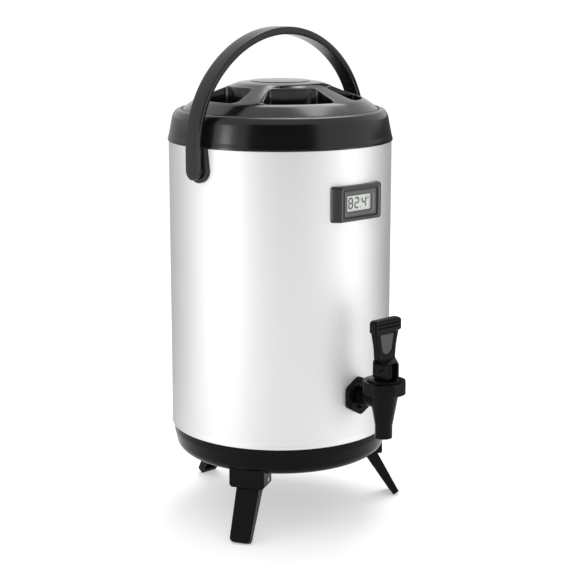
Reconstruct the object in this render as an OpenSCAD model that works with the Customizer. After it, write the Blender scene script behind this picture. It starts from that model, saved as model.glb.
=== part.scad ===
// Insulated beverage dispenser: a foam-filled steel drum on three folding legs, with a lift-out lid,
// a swinging handle, a panel thermometer and a lever tap.
// Millimetres, +Z up. The origin lies on the drum's axis, on the surface it stands on.
// The tap and the thermometer face -Y.

/* [Body] */
// Outside diameter of the steel drum
body_d = 250; // [230:1:290]
// Height of steel that shows between the base and the collar
body_h = 324; // [290:1:400]
// Thickness of the outer steel sheet
shell_t = 0.8; // [0.6:0.1:1.2]
// Thickness of the foam between the two steel skins
foam_t = 20.4; // [18:0.2:28]

/* [Tank] */
// Thickness of the inner tank's sheet
tank_t = 0.8; // [0.6:0.1:1.2]
// Foam depth between the base's floor and the tank
under_foam_t = 51; // [45:1:60]
// Radius of the tank's bottom corner
tank_corner_r = 14; // [8:1:18]
// Width of the flange round the tank's mouth
tank_rim_w = 6.6; // [5:0.1:8]
// Bend radius between the tank's wall and its flange
tank_bend_r = 2; // [1.5:0.1:3]

/* [Base] */
// Height of the base pan below the steel
base_h = 32.3; // [29:0.1:40]
// Wall of the base pan
base_t = 2.8; // [2.4:0.1:3.2]
// Height of the pan's upright band under the steel
base_band = 9; // [7:0.5:11]
// How far the pan's side leans in from that band to its floor
base_lean = 5; // [4:0.1:8]
// Radius between the pan's side and its floor
base_corner_r = 14; // [10:1:16]
// Bend radius between the band and the leaning side
base_bend_r = 8; // [5:1:10]
// How far the pan's wall goes up inside the steel's folded hem
base_lap = 8; // [6:0.5:10]
// How far the hem's lower edge bulges out
hem_bulge = 0.5; // [0.3:0.1:0.8]
// Height of the bulge
hem_bulge_h = 5; // [4:0.5:6]

/* [Legs] */
// Length of a leg from its pin to the middle of its foot
leg_length = 72.4; // [66:0.1:84]
// Angle of an open leg from the vertical
leg_splay = 31; // [26:1:35]
// Distance of the leg pins from the drum's axis
leg_pin_r = 101.8; // [98:0.1:106]
// Distance from the leg pins up to the base
leg_pin_drop = 9; // [8.8:0.1:13]
// Radius of the knuckle at the top of a leg
leg_knuckle_r = 7.1; // [6.5:0.1:7.6]
// Thickness of a leg at its foot
leg_foot_t = 7.5; // [6.5:0.1:9]
// Width of a leg at its knuckle
leg_top_w = 27; // [24:0.5:32]
// Width of a leg at its foot
leg_foot_w = 23.5; // [20:0.5:28]
// Radius of the foot's corners
leg_foot_r = 5; // [3:0.5:7]
// Depth worn flat under the foot
leg_foot_flat = 1.2; // [0.8:0.1:2]
// Wall of a leg's channel
leg_wall = 2.6; // [2:0.1:3.2]
// Solid length at the end of the channel
leg_toe = 7; // [5:0.5:10]
// Diameter of a leg pin
leg_pin_d = 5; // [4:0.1:6]

/* [Brackets] */
// Height of a bracket below the base
bracket_h = 16; // [14:0.5:18]
// Thickness of a bracket's cheeks
bracket_cheek_t = 6.3; // [5.6:0.1:8]
// Thickness of the wall that stops a leg
bracket_wall_t = 3.7; // [3:0.1:5]
// Depth of a bracket behind its pin
bracket_back = 9; // [8:0.5:11]
// Length of a bracket's fixing ears
ear_len = 21; // [18:0.5:24]
// Thickness of a bracket's fixing ears
ear_t = 2.4; // [2:0.1:3]
// Bevel along a bracket's lower edges
bracket_bevel = 2.5; // [1:0.1:3]
// Shank diameter of a bracket screw
screw_d = 3.4; // [3:0.1:3.8]
// Head diameter of a bracket screw
screw_head_d = 5.2; // [4.8:0.1:5.6]
// Head height of a bracket screw
screw_head_h = 2; // [1.6:0.1:2.4]
// Length of a bracket screw below its head
screw_len = 12; // [10:0.5:14]
// Diameter of the boss that a screw bites into
screw_boss_d = 9; // [8:0.1:11]
// Solid end of that boss above the screw
screw_boss_end = 2; // [1.5:0.1:3]

/* [Collar] */
// Height of the collar
collar_h = 34.3; // [31:0.1:40]
// Wall of the collar
collar_t = 2.6; // [2.2:0.1:3]
// How far the collar's lower edge stands out from the steel
collar_proud = 1.7; // [1.6:0.1:3]
// How far the collar's side leans in towards its top
collar_lean = 5.3; // [4:0.1:6]
// Depth of the steel inside the collar
collar_step = 4; // [3:0.1:5]
// Depth of the shelf for the tank's flange below the collar's top
shelf_depth = 9.8; // [9:0.1:12]
// Flat width of the collar's top edge
collar_edge = 0.9; // [0.6:0.1:2]
// Edge radius of the collar's mouth
collar_edge_r = 0.4; // [0.2:0.1:0.5]
// Length of the collar's inner skirt below the shelf
collar_skirt = 14; // [10:0.5:16]
// Turn of the pressed-on collar about the drum's axis
collar_turn = 5.6; // [-10:0.1:10]
// Drop of the handle pivots below the collar's lower edge
pivot_drop = 23.2; // [20:0.1:30]
// Radius of the ear pad round a pivot
pad_r = 14; // [12:0.5:16]
// Half width of the ear pad where it meets the collar
pad_neck = 11; // [9:0.5:14]
// How far the ear pad stands out from the steel
pad_proud = 4.9; // [4.5:0.1:5.5]

/* [Handle] */
// Clear distance between the steel and the handle's legs
handle_gap = 7; // [6.8:0.1:10]
// Thickness of the handle's band
handle_t = 6; // [5:0.1:7]
// Width of the handle's band
handle_w = 20; // [16:0.5:24]
// Height of the straight legs above the pivots
handle_leg_h = 21.4; // [16:0.1:30]
// Distance of the side arcs' centres from the drum's axis
handle_arc_x = 20; // [14:0.5:26]
// Height of the crown above those side arcs
handle_crown = 8.6; // [6:0.1:12]
// Diameter of a pivot stud's shaft
stud_d = 8; // [7:0.1:9]
// Diameter of a pivot stud's head
stud_head_d = 13; // [11:0.1:15]
// Thickness of a pivot stud's head
stud_head_t = 1.8; // [1.5:0.1:2]
// Diameter of the boss round a stud
stud_boss_d = 17; // [15.5:0.1:20]
// Depth that a stud reaches into the band
stud_grip = 3.6; // [3:0.1:3.9]

/* [Lid] */
// Gap round the lid's rim inside the collar
lid_gap = 1.3; // [0.8:0.1:2]
// Height of the lid's upright rim
lid_rim_h = 4; // [3.5:0.1:6]
// Depth of the lid's rim below the collar's top
lid_sink = 3.5; // [2.5:0.1:3.8]
// Width of the sloping skirt inside the rim
lid_skirt_w = 14.8; // [10:0.1:18]
// Height of that skirt
lid_skirt_h = 10.4; // [8:0.1:13]
// Rise of the cone from the skirt to the hub
lid_cone_h = 17.4; // [12:0.1:22]
// Softening radius between skirt and cone
lid_soft_r = 6; // [3:0.5:10]
// Diameter of the raised hub
hub_d = 100; // [90:1:106]
// Height of the hub's step
hub_step = 1.2; // [0.8:0.1:2]
// Slope height of the hub's top
hub_rise = 1.2; // [0.6:0.1:2]
// Wall of the lid's moulding
lid_t = 2.6; // [2:0.1:3]
// Small edge radius of the lid's steps
lid_edge_r = 0.8; // [0.5:0.1:1.1]
// Number of finger pockets in the lid
pocket_count = 5; // [4:1:6]
// Half the angle that one pocket spans
pocket_half_angle = 26.5; // [20:0.5:27]
// Band of cone left between the hub and the pockets
pocket_hub_land = 7; // [5:0.5:9]
// Band of cone left between the pockets and the skirt
pocket_rim_land = 3.5; // [3:0.5:6]
// Corner radius of a pocket
pocket_corner_r = 7; // [4:0.5:8]
// Angle of the first pocket from the front
lid_turn = -27.1; // [-36:0.1:36]
// Diameter of the hub's centre cap
cap_d = 66; // [56:1:72]
// Height of the cap's edge above the hub
cap_lip = 0.5; // [0.3:0.1:1]
// Height of the cap's dome
cap_dome = 1.3; // [0.8:0.1:2.5]
// Thickness of the cap at its edge
cap_t = 2.2; // [1.8:0.1:3]
// Diameter of the vent in the cap
vent_d = 2; // [1.5:0.1:3]
// Depth of the plug that fills the tank's mouth
plug_h = 24.6; // [20:0.1:28]
// Gap between the plug and the tank's wall
plug_gap = 1.5; // [1:0.1:2.5]
// Wall of the plug
plug_t = 2.2; // [1.8:0.1:3]
// Radius of the plug's lower corner
plug_corner_r = 6; // [4:0.5:9]
// Thickness of the plug's flange
plug_flange_t = 2.4; // [2:0.1:3]
// Lip radius of the lid's sealing ring
seal_lip_r = 0.8; // [0.5:0.1:1.2]
// Width of the lid's sealing ring
gasket_w = 4.6; // [3.5:0.1:5]

/* [Thermometer] */
// Distance of the thermometer's centre below the collar
thermo_drop = 57.7; // [50:0.1:80]
// Width of the frame's flat front
thermo_front_w = 58; // [56:0.5:62]
// Width of the frame where it meets the steel
thermo_back_w = 72; // [68:0.5:76]
// Height of the frame
thermo_h = 38.8; // [36:0.1:44]
// Distance that the frame's front stands out from the steel
thermo_proud = 5.5; // [4.5:0.1:7]
// Corner radius of the frame
thermo_corner_r = 3; // [2:0.5:5]
// Width of the module's bezel
bezel_w = 48; // [46:0.1:50]
// Height of the module's bezel
bezel_h = 28.6; // [28:0.1:31]
// Thickness of the module's bezel
bezel_t = 1.6; // [1.4:0.1:2]
// Depth of the bezel behind the frame's front
bezel_sink = 0.9; // [0.5:0.1:1.2]
// Sideways place of the display window
window_x = -1.6; // [-2:0.1:2]
// Width of the display window
window_w = 36; // [32:0.5:38]
// Height of the display window
window_h = 17; // [15:0.5:19]
// Width of the module's case
case_w = 45.6; // [44:0.1:46]
// Height of the module's case
case_h = 26.2; // [25:0.1:27]
// Depth of the module's case behind its bezel
case_depth = 14.5; // [13.5:0.1:15.5]
// Wall of the module's case
case_t = 1.4; // [1.2:0.1:1.8]
// Thickness of the clear lens
lens_t = 1.2; // [1:0.1:1.5]
// Thickness of the display panel
panel_t = 2.2; // [1.8:0.1:2.6]
// Thickness of the circuit board
board_t = 1.2; // [1:0.1:1.6]
// Diameter of a button cell
cell_d = 11.6; // [11:0.1:12]
// Thickness of a button cell
cell_t = 5.4; // [5:0.1:5.6]
// Distance of the button cells from the centre
cell_x = 9; // [8:0.1:11]
// Wall of the frame's sleeve through the steel
sleeve_t = 1.6; // [1.2:0.1:2]
// Distance that the sleeve reaches behind the frame's front
sleeve_depth = 12.5; // [10:0.1:13]
// Diameter of the temperature probe
probe_d = 5; // [4:0.1:5]
// Length of the temperature probe
probe_len = 25; // [20:1:30]
// Corner radius of the bezel and its window
bezel_corner_r = 1; // [0.6:0.1:1.6]
// Sideways place of the probe
probe_x = 17.5; // [16.5:0.1:18]
// Drop of the probe's top below the thermometer's centre
probe_drop = 16; // [12:0.5:20]
// Height of the lead below the thermometer's centre
lead_drop = 4; // [2:0.5:6]
// Diameter of the probe's lead
lead_d = 2.4; // [1.8:0.1:2.6]

/* [Tap] */
// Distance from the steel to the tap's upright axis
tap_reach = 42.4; // [40:0.1:48]
// Height of the tap's shank above the tank's floor
tap_rise = 31; // [28:0.1:36]
// Diameter of the shank
shank_d = 16.5; // [15:0.1:18]
// Bore of the shank
shank_bore_d = 10; // [9:0.1:11]
// Length of shank inside the tank
shank_inside = 13; // [12.4:0.1:16]
// Diameter of the shoulder ring in front of the nut
shoulder_d = 22; // [20:0.5:26]
// Thickness of the shoulder ring
shoulder_t = 4; // [3:0.5:6]
// Distance from the shank down to the nozzle's end
nozzle_drop = 38.5; // [36:0.1:42]
// Outside diameter of the nozzle
nozzle_d = 19; // [18:0.1:21]
// Straight length of the nozzle
nozzle_h = 13.5; // [10:0.1:15]
// Bore of the nozzle
nozzle_bore_d = 13; // [11:0.1:13.6]
// Diameter at the top of the tap's cone
cone_d = 32; // [31:0.1:36]
// Distance from the shank up to the top of the cone
cone_rise = 11.5; // [11:0.1:13]
// Distance from the shank down to the valve seat
seat_drop = 16.5; // [15:0.1:18]
// Diameter of the lower valve chamber
seat_room_d = 18.4; // [17.8:0.1:18.8]
// Height of the lower valve chamber
seat_room_h = 11; // [10:0.1:12]
// Drop of the upper chamber's edge below the cone's top
chamber_drop = 3; // [2:0.1:4]
// Diameter of the upper valve chamber
chamber_d = 26.4; // [25:0.1:27]
// Outside diameter of the threaded spigot
spigot_d = 30; // [29.4:0.1:30.6]
// Height of the threaded spigot
spigot_h = 10.5; // [9:0.1:11.5]
// Width of the bonnet across its corners
bonnet_d = 46; // [42:0.5:50]
// Height of the bonnet's eight-sided part
bonnet_h = 13.5; // [12.5:0.1:15]
// Diameter of the wear land on the bonnet
land_d = 37; // [35:0.5:38]
// Height of the wear land on the bonnet
land_h = 1.9; // [1.5:0.1:2.5]
// Turned-off corner of the bonnet and the nuts
nut_bevel = 1.6; // [1:0.1:2]
// Width of the outer nut across its corners
nut_d = 41; // [38:0.5:46]
// Thickness of the outer nut
nut_t = 8; // [6:0.1:9]
// Width of the inner nut across its corners
inner_nut_d = 32; // [28:0.5:36]
// Thickness of the inner nut
inner_nut_t = 7; // [6:0.1:8]
// Diameter of the tap's rubber washers
washer_d = 29; // [26:0.5:32]
// Thickness of the tap's rubber washers
washer_t = 2.1; // [1.6:0.1:3]
// Diameter of the valve stem
stem_d = 8; // [7:0.1:8.4]
// Diameter of the stem's tip
stem_tip_d = 5; // [4:0.1:5.4]
// Depth of the stem's tip in the seat cup
stem_tip_h = 3.4; // [2.6:0.1:3.6]
// Diameter of the rubber seat cup
cup_d = 16.8; // [16:0.1:17]
// Height of the rubber seat cup
cup_h = 4.5; // [4:0.1:5]
// Diameter of the stem's spring collar
spring_collar_d = 17; // [16.4:0.1:17.2]
// Thickness of the stem's spring collar
spring_collar_t = 2; // [1.6:0.1:2.4]
// Mean radius of the spring
spring_r = 7; // [6.4:0.1:7.4]
// Wire diameter of the spring
spring_wire_d = 1.2; // [1:0.1:1.4]
// Number of turns in the spring
spring_turns = 6; // [5:1:7]

/* [Lever] */
// Height of the lever's pin above the bonnet's land
lever_pin_rise = 14.6; // [14:0.1:17]
// Diameter of the lever's pin
lever_pin_d = 3; // [2.6:0.1:3.2]
// Width of the lever's foot
lever_foot_w = 15; // [14:0.1:17]
// Reach of the lever's foot in front of its pin
lever_foot_front = 15.3; // [14:0.1:17]
// Reach of the lever's foot behind its pin
lever_foot_back = 11.2; // [9:0.1:13]
// Radius of the foot's rolling front edge
lever_cam_r = 5; // [4:0.1:6]
// Height of the foot above the pin
lever_foot_top = 3.5; // [3:0.1:5]
// Width of the slot for the stem
lever_slot_w = 8.6; // [8.4:0.1:9]
// Radius of the lever's moulded edges
lever_edge_r = 2.5; // [2:0.1:3]
// Height of the lever's neck above the pin
lever_neck_rise = 8; // [7:0.1:10]
// Width of the lever's neck
lever_neck_w = 22; // [20:0.5:25]
// Height of the paddle's top bar above the pin
lever_bar_rise = 39.5; // [36:0.1:44]
// Height of the top bar
lever_bar_h = 10.5; // [9:0.1:12]
// Width of the paddle under the bar
lever_paddle_w = 33; // [30:0.5:36]
// Width of the top bar
lever_bar_w = 37; // [36.5:0.5:42]
// Thickness of the paddle
lever_paddle_t = 8.7; // [8:0.1:10]
// How far the top bar stands out from the paddle
lever_bar_proud = 1.6; // [1:0.1:2.5]
// Number of grooves across the top bar
lever_groove_count = 2; // [2:1:4]
// Width of a groove
lever_groove_w = 1.2; // [0.8:0.1:1.4]
// Depth of a groove
lever_groove_depth = 0.8; // [0.5:0.1:1]
// Depth of the paddle's bare shield panel
lever_panel_depth = 0.8; // [0.5:0.1:1.2]
// Border left round that panel
lever_panel_border = 3; // [2.5:0.1:4]
// Radius of the half-round boss beside the pin
lever_boss_r = 7.5; // [6:0.1:8]
// How far the half-round boss stands out
lever_boss_proud = 1.2; // [0.8:0.1:2]

/* [Fits] */
// Gap between fixed pieces that slip together
slip = 0.2; // [0.15:0.05:0.25]
// Gap round a pin or shaft that turns
running = 0.05; // [0.03:0.01:0.08]
// Gap between moving pieces that come close
clear = 0.4; // [0.35:0.05:0.5]
// Gap between soft pieces and what they seal on
seal_gap = 0.25; // [0.2:0.05:0.3]

/* [Hidden] */
$fn = 96;
fine = 480;
eps = 0.01;
over = 1;
far = 400;
nut_sides = 6;
bonnet_sides = 8;
tip_reach = 1.5;
bite = 0.02;

body_r = body_d / 2;
tank_out_r = body_r - shell_t - foam_t;
tank_r = tank_out_r - tank_t;
shell_in_r = body_r - shell_t;

// Heights
leg_pin_z = leg_length * cos(leg_splay) + leg_foot_t / 2 * sin(leg_splay) - leg_foot_flat;
base_z = leg_pin_z + leg_pin_drop;
body_z = base_z + base_h;
collar_z = body_z + body_h;
collar_top_z = collar_z + collar_h;
shelf_z = collar_top_z - shelf_depth;
base_floor_z = base_z + base_t;
tank_base_z = base_floor_z + under_foam_t;
tank_floor_z = tank_base_z + tank_t;
tank_rim_z = shelf_z + tank_t;
pivot_z = collar_z - pivot_drop;
shell_top_z = collar_z + collar_step - slip;

// Base pan inside the folded hem, with its side as a line from floor to band
hem_in_r = body_r - 2 * shell_t;
base_rim_r = hem_in_r - slip;
base_foot_r = base_rim_r - base_lean;
base_side_h = base_h - base_band;
base_skin = base_t * norm([base_lean, base_side_h]) / base_side_h;
base_bend_h = base_side_h * (base_lean + base_skin - base_t) / base_lean;
function base_side_r(h) = base_foot_r + base_lean * h / base_side_h;

// Collar, with its side as a line from its lower edge to its top corner
collar_rim_r = body_r + collar_proud;
collar_skin = collar_t * norm([collar_lean, collar_h]) / collar_h;
collar_bore_r = tank_out_r + slip + running;
recess_r = tank_out_r + tank_rim_w + slip;
collar_turn_angle = atan2(collar_h, collar_lean);
collar_corner_r = (collar_rim_r - collar_lean - recess_r - collar_edge) / tan(collar_turn_angle / 2);
collar_skirt_h = collar_h - shelf_depth - collar_skirt;
function collar_side_r(h) = collar_rim_r - collar_lean * h / collar_h;
pad_face_r = body_r + pad_proud;
pad_inner_r = body_r + slip;

// Legs and brackets: angles are from the front, and the outer face of an open leg is a line
// that touches the knuckle
leg_angles = [-60, 60, 180];
leg_taper = asin(leg_knuckle_r / norm([leg_length, leg_foot_t / 2])) - atan(leg_foot_t / 2 / leg_length);
leg_face_tilt = leg_splay - leg_taper;
bracket_z = base_z - bracket_h;
bay_half_w = leg_top_w / 2 + clear;
bay_roof_z = leg_pin_z + leg_knuckle_r + clear;
bracket_half_w = bay_half_w + bracket_cheek_t;
bracket_stop_r = leg_pin_r + clear
    + (leg_knuckle_r + (leg_pin_z - bracket_z) * sin(leg_face_tilt)) / cos(leg_face_tilt);
bracket_out_r = bracket_stop_r + bracket_wall_t;
screw_at_r = leg_pin_r - bracket_back - ear_len / 2;
screw_at_y = bay_half_w + bracket_cheek_t / 2;
screw_boss_z = base_z + screw_len + screw_boss_end;
function leg_half_w(z) =
    (leg_top_w + (leg_foot_w - leg_top_w) * (leg_knuckle_r - z) / (leg_knuckle_r + leg_length)) / 2;
function leg_skin_x(z) = (leg_knuckle_r - leg_wall + z * sin(leg_taper)) / cos(leg_taper);

// Handle arch: two side arcs and a crown, all tangent
handle_in_x = body_r + handle_gap;
handle_out_x = handle_in_x + handle_t;
handle_spring_z = pivot_z + handle_leg_h;
side_arc_r = handle_out_x - handle_arc_x;
crown_drop = (pow(handle_arc_x, 2) - pow(handle_crown, 2)) / (2 * handle_crown);
crown_arc_r = side_arc_r + handle_crown + crown_drop;

// Lid
lid_r = recess_r - lid_gap;
lid_z = collar_top_z - lid_sink;
lid_rim_z = lid_z + lid_rim_h;
lid_skirt_r = lid_r - lid_skirt_w;
lid_skirt_z = lid_rim_z + lid_skirt_h;
hub_r = hub_d / 2;
hub_z = lid_skirt_z + lid_cone_h;
hub_edge_z = hub_z + hub_step;
hub_top_z = hub_edge_z + hub_rise;
pocket_in_r = hub_r + pocket_hub_land;
pocket_out_r = lid_skirt_r - pocket_rim_land;
pocket_floor_z = lid_z + lid_t;
cap_r = cap_d / 2;
cap_seat_z = hub_top_z + cap_lip - cap_t;
cap_dome_r = (pow(cap_r, 2) + pow(cap_dome, 2)) / (2 * cap_dome);
plug_r = tank_r - plug_gap;
plug_flange_z = lid_z - plug_flange_t;
plug_base_z = plug_flange_z - plug_h;
gasket_out_r = tank_out_r + tank_rim_w - slip - lid_gap;

// Thermometer: its places along Y are measured from the drum's axis
thermo_z = collar_z - thermo_drop;
frame_front_y = -(body_r + thermo_proud);
bezel_front_y = frame_front_y + bezel_sink;
bezel_back_y = bezel_front_y + bezel_t;
case_back_y = bezel_back_y + case_depth;
sleeve_back_y = frame_front_y + sleeve_depth;
sleeve_w = case_w + 2 * (slip + sleeve_t);
sleeve_h = case_h + 2 * (slip + sleeve_t);
case_room_w = case_w - 2 * case_t;
case_room_h = case_h - 2 * case_t;
stack_gap = 0.1;
lens_y = bezel_back_y + stack_gap;
panel_y = lens_y + lens_t + stack_gap;
board_y = panel_y + panel_t + stack_gap;
cell_y = board_y + board_t + stack_gap;
back_y = case_back_y - case_t;
lead_z = thermo_z - lead_drop;
probe_top_z = thermo_z - probe_drop;
probe_y = -sqrt(pow(tank_out_r + probe_d / 2 + slip, 2) - pow(probe_x, 2));

// Tap
tap_y = -(body_r + tap_reach);
shank_z = tank_floor_z + tap_rise;
nozzle_z = shank_z - nozzle_drop;
seat_z = shank_z - seat_drop;
cone_top_z = shank_z + cone_rise;
spigot_top_z = cone_top_z + spigot_h;
bonnet_top_z = cone_top_z + bonnet_h;
land_z = bonnet_top_z + land_h;
bonnet_roof_z = spigot_top_z + slip;
nut_back_y = -(body_r + washer_t);
nut_front_y = nut_back_y - nut_t;
shank_end_y = -(tank_r - shank_inside);
shank_hole_r = shank_d / 2 + slip;
cup_z = seat_z + seal_gap;
spring_collar_z = cup_z + cup_h;
spring_base_z = spring_collar_z + spring_collar_t;

// Lever
lever_pin_z = land_z + lever_pin_rise;
lever_foot_z = land_z + clear;

// Shared outline tools
function unit(v) = v / norm(v);
function turns_left(a, p, b) = cross(p - a, b - p) > 0;
function half_angle(a, p, b) = acos(max(-1, min(1, unit(a - p) * unit(b - p)))) / 2;
function side_room(p, q, radius, q_radius) = norm(q - p) * radius / max(radius + q_radius, eps);

// Corner of an outline: where its arc starts, where it ends, its centre and its radius.
// The radius is limited by the length of the two sides, which neighbours share by their radii.
function corner(a, p, b, a_radius, radius, b_radius) =
    let (half = half_angle(a, p, b))
    let (room = min(side_room(p, a, radius, a_radius), side_room(p, b, radius, b_radius)))
    let (r = min(radius, room * tan(half)))
    let (u = unit(a - p))
    let (v = unit(b - p))
    [p + u * r / tan(half), p + v * r / tan(half), p + unit(u + v) * r / sin(half), r];

// The circle of a corner's arc. It bites a little into both sides, so that it crosses them cleanly.
module corner_circle(cut) {
    translate(cut[2]) circle(cut[3] + bite);
}

// What an outer corner loses: the tip between its arc and its point
module corner_tip(cut, p) {
    difference() {
        polygon([cut[0], cut[2] + tip_reach * (p - cut[2]), cut[1]]);
        corner_circle(cut);
    }
}

// What an inner corner loses, once it is filled straight across: the hollow of its arc
module corner_hollow(cut, p) {
    widen = 2 * sqrt(2 * cut[3] * bite);
    intersection() {
        corner_circle(cut);
        polygon([
            cut[2], cut[0] + widen * unit(cut[0] - p),
            cut[2] + tip_reach * (p - cut[2]), cut[1] + widen * unit(cut[1] - p)
        ]);
    }
}

// Closed outline, points counter-clockwise, with a radius for each corner
module rounded_outline(points, radii) {
    n = len(points);
    function at(list, i) = list[(i + n) % n];
    cuts = [
        for (i = [0 : n - 1])
            corner(
                at(points, i - 1), points[i], at(points, i + 1),
                at(radii, i - 1), radii[i], at(radii, i + 1)
            )
    ];
    outer = [for (i = [0 : n - 1]) turns_left(at(points, i - 1), points[i], at(points, i + 1))];
    difference() {
        polygon([
            for (i = [0 : n - 1]) each radii[i] > 0 && !outer[i] ? [cuts[i][0], cuts[i][1]] : [points[i]]
        ]);
        for (i = [0 : n - 1]) {
            if (radii[i] > 0 && outer[i]) corner_tip(cuts[i], points[i]);
            if (radii[i] > 0 && !outer[i]) corner_hollow(cuts[i], points[i]);
        }
    }
}

module rounded_rect(w, h, r) {
    rounded_outline(
        [[-w / 2, -h / 2], [w / 2, -h / 2], [w / 2, h / 2], [-w / 2, h / 2]],
        [r, r, r, r]
    );
}

// An upright outline (x, z) made solid between two places along Y
module slab_y(y0, y1) {
    translate([0, y1, 0]) rotate([90, 0, 0]) linear_extrude(y1 - y0) children();
}

// An upright outline (y, z) made solid between two places along X
module slab_x(x0, x1) {
    translate([x0, 0, 0]) rotate([90, 0, 90]) linear_extrude(x1 - x0) children();
}

module rod_x(x0, x1, r) {
    translate([x0, 0, 0]) rotate([0, 90, 0]) cylinder(h = x1 - x0, r = r);
}

module rod_y(y0, y1, r) {
    translate([0, y1, 0]) rotate([90, 0, 0]) cylinder(h = y1 - y0, r = r);
}

// Places a piece drawn along +X at an angle from the front
module at_angle(angle) {
    rotate([0, 0, angle - 90]) children();
}

module drum(r, z0, z1) {
    translate([0, 0, z0]) cylinder(h = z1 - z0, r = r, $fn = fine);
}

// Steel drum and tank

// Hole for the tap's shank through both skins and the foam
module tap_hole() {
    translate([0, 0, shank_z]) rod_y(-far, 0, shank_hole_r);
}

// Rolled steel skin with a folded hem, the thermometer's window and the tap's hole
module outer_shell() {
    color("gainsboro") difference() {
        rotate_extrude() polygon([
            [hem_in_r, body_z], [body_r + hem_bulge, body_z], [body_r + hem_bulge, body_z + hem_bulge_h / 2],
            [body_r, body_z + hem_bulge_h], [body_r, shell_top_z], [shell_in_r, shell_top_z],
            [shell_in_r, body_z + base_lap], [hem_in_r, body_z + base_lap]
        ]);
        translate([0, 0, thermo_z]) slab_y(-far, 0) square([sleeve_w + 2 * slip, sleeve_h + 2 * slip], true);
        tap_hole();
    }
}

// Deep-drawn tank hung by its flange on the collar's shelf
module inner_tank() {
    outer = tank_corner_r + tank_t;
    color("silver") difference() {
        rotate_extrude() rounded_outline(
            [
                [0, tank_base_z], [tank_out_r, tank_base_z], [tank_out_r, shelf_z],
                [tank_out_r + tank_rim_w - slip, shelf_z], [tank_out_r + tank_rim_w - slip, tank_rim_z],
                [tank_r, tank_rim_z], [tank_r, tank_floor_z], [0, tank_floor_z]
            ],
            [0, outer, tank_bend_r - tank_t, 0, 0, tank_bend_r, tank_corner_r, 0]
        );
        tap_hole();
    }
}

// Foamed-in-place insulation, which fills the space between the skins
module insulation_foam() {
    foam_z = base_floor_z + slip;
    foam_top_z = collar_z + collar_skirt_h - slip;
    skirt_r = shell_in_r - slip;
    foot_r = base_side_r(base_t) - base_skin - slip;
    lap_r = base_rim_r - base_t - slip;
    color("khaki") difference() {
        rotate_extrude() rounded_outline(
            [
                [0, foam_z], [foot_r, foam_z], [lap_r, base_z + base_bend_h],
                [lap_r, body_z + base_lap + slip], [skirt_r, body_z + base_lap + slip], [skirt_r, collar_z],
                [collar_side_r(collar_step) - collar_skin - slip, collar_z + collar_step],
                [collar_side_r(collar_skirt_h) - collar_skin - slip, foam_top_z],
                [tank_out_r + slip, foam_top_z],
                [tank_out_r + slip, tank_base_z - slip], [0, tank_base_z - slip]
            ],
            [0, base_corner_r, 0, 0, 0, 0, 0, 0, 0, tank_corner_r + tank_t + slip, 0]
        );
        tap_hole();
        translate([0, 0, thermo_z]) slab_y(-far, case_back_y + slip) {
            square([sleeve_w + 2 * slip, sleeve_h + 2 * slip], true);
        }
        translate([probe_x, 0, 0]) slab_y(-body_r, 0) {
            translate([-probe_d / 2 - slip, probe_top_z - probe_len - slip]) {
                square([probe_d + 2 * slip, lead_z + lead_d - probe_top_z + probe_len]);
            }
        }
        for (angle = leg_angles) {
            at_angle(angle) screw_places() drum(screw_boss_d / 2 + slip, base_z, screw_boss_z + slip);
        }
    }
}

// Moulded base and top

// Dished pan: leaning side, large corner, a wall inside the steel and bosses for the bracket screws
module base_pan() {
    color("dimgray") difference() {
        union() {
            rotate_extrude() base_outline();
            for (angle = leg_angles) {
                at_angle(angle) screw_places() drum(screw_boss_d / 2, base_z + eps, screw_boss_z);
            }
        }
        for (angle = leg_angles) {
            at_angle(angle) screw_places() drum(screw_d / 2 + running, base_z - over, base_z + screw_len);
        }
    }
}

module base_outline() {
    translate([0, base_z]) rounded_outline(
        [
            [0, 0], [base_foot_r, 0], [base_rim_r, base_side_h], [base_rim_r, base_h + base_lap],
            [base_rim_r - base_t, base_h + base_lap], [base_rim_r - base_t, base_bend_h],
            [base_side_r(base_t) - base_skin, base_t], [0, base_t]
        ],
        [0, base_corner_r, base_bend_r, 0, 0, 0, base_corner_r - base_t, 0]
    );
}

// The space that the pan and the drum take up, grown by a gap
module base_envelope(gap) {
    rotate_extrude() translate([0, base_z - gap]) rounded_outline(
        [[0, 0], [base_foot_r + gap, 0], [base_rim_r + gap, base_side_h], [base_rim_r + gap, far], [0, far]],
        [0, base_corner_r + gap, 0, 0, 0]
    );
}

// Moulded ring that clamps the drum's upper edge, carries the tank and ends in two ears for the handle
module top_collar() {
    color("dimgray") union() {
        rotate_extrude() translate([0, collar_z]) collar_outline();
        rotate([0, 0, collar_turn]) {
            for (side = [0, 180]) rotate([0, 0, side]) ear_pad();
        }
    }
}

module collar_outline() {
    shelf_h = collar_h - shelf_depth;
    skin_top = collar_h - collar_t;
    rounded_outline(
        [
            [collar_rim_r, 0], [collar_side_r(collar_h), collar_h], [recess_r, collar_h],
            [recess_r, shelf_h], [collar_bore_r, shelf_h], [collar_bore_r, collar_skirt_h],
            [collar_bore_r + collar_t, collar_skirt_h], [collar_bore_r + collar_t, shelf_h - collar_t],
            [recess_r + collar_t, shelf_h - collar_t], [recess_r + collar_t, skin_top],
            [collar_side_r(skin_top) - collar_skin, skin_top],
            [collar_side_r(collar_step) - collar_skin, collar_step],
            [body_r + slip, collar_step], [body_r + slip, 0]
        ],
        [0, collar_corner_r, collar_edge_r, 0, tank_bend_r, 0, 0, 0, 0, 0, collar_corner_r - collar_t, 0, 0, 0]
    );
}

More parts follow.
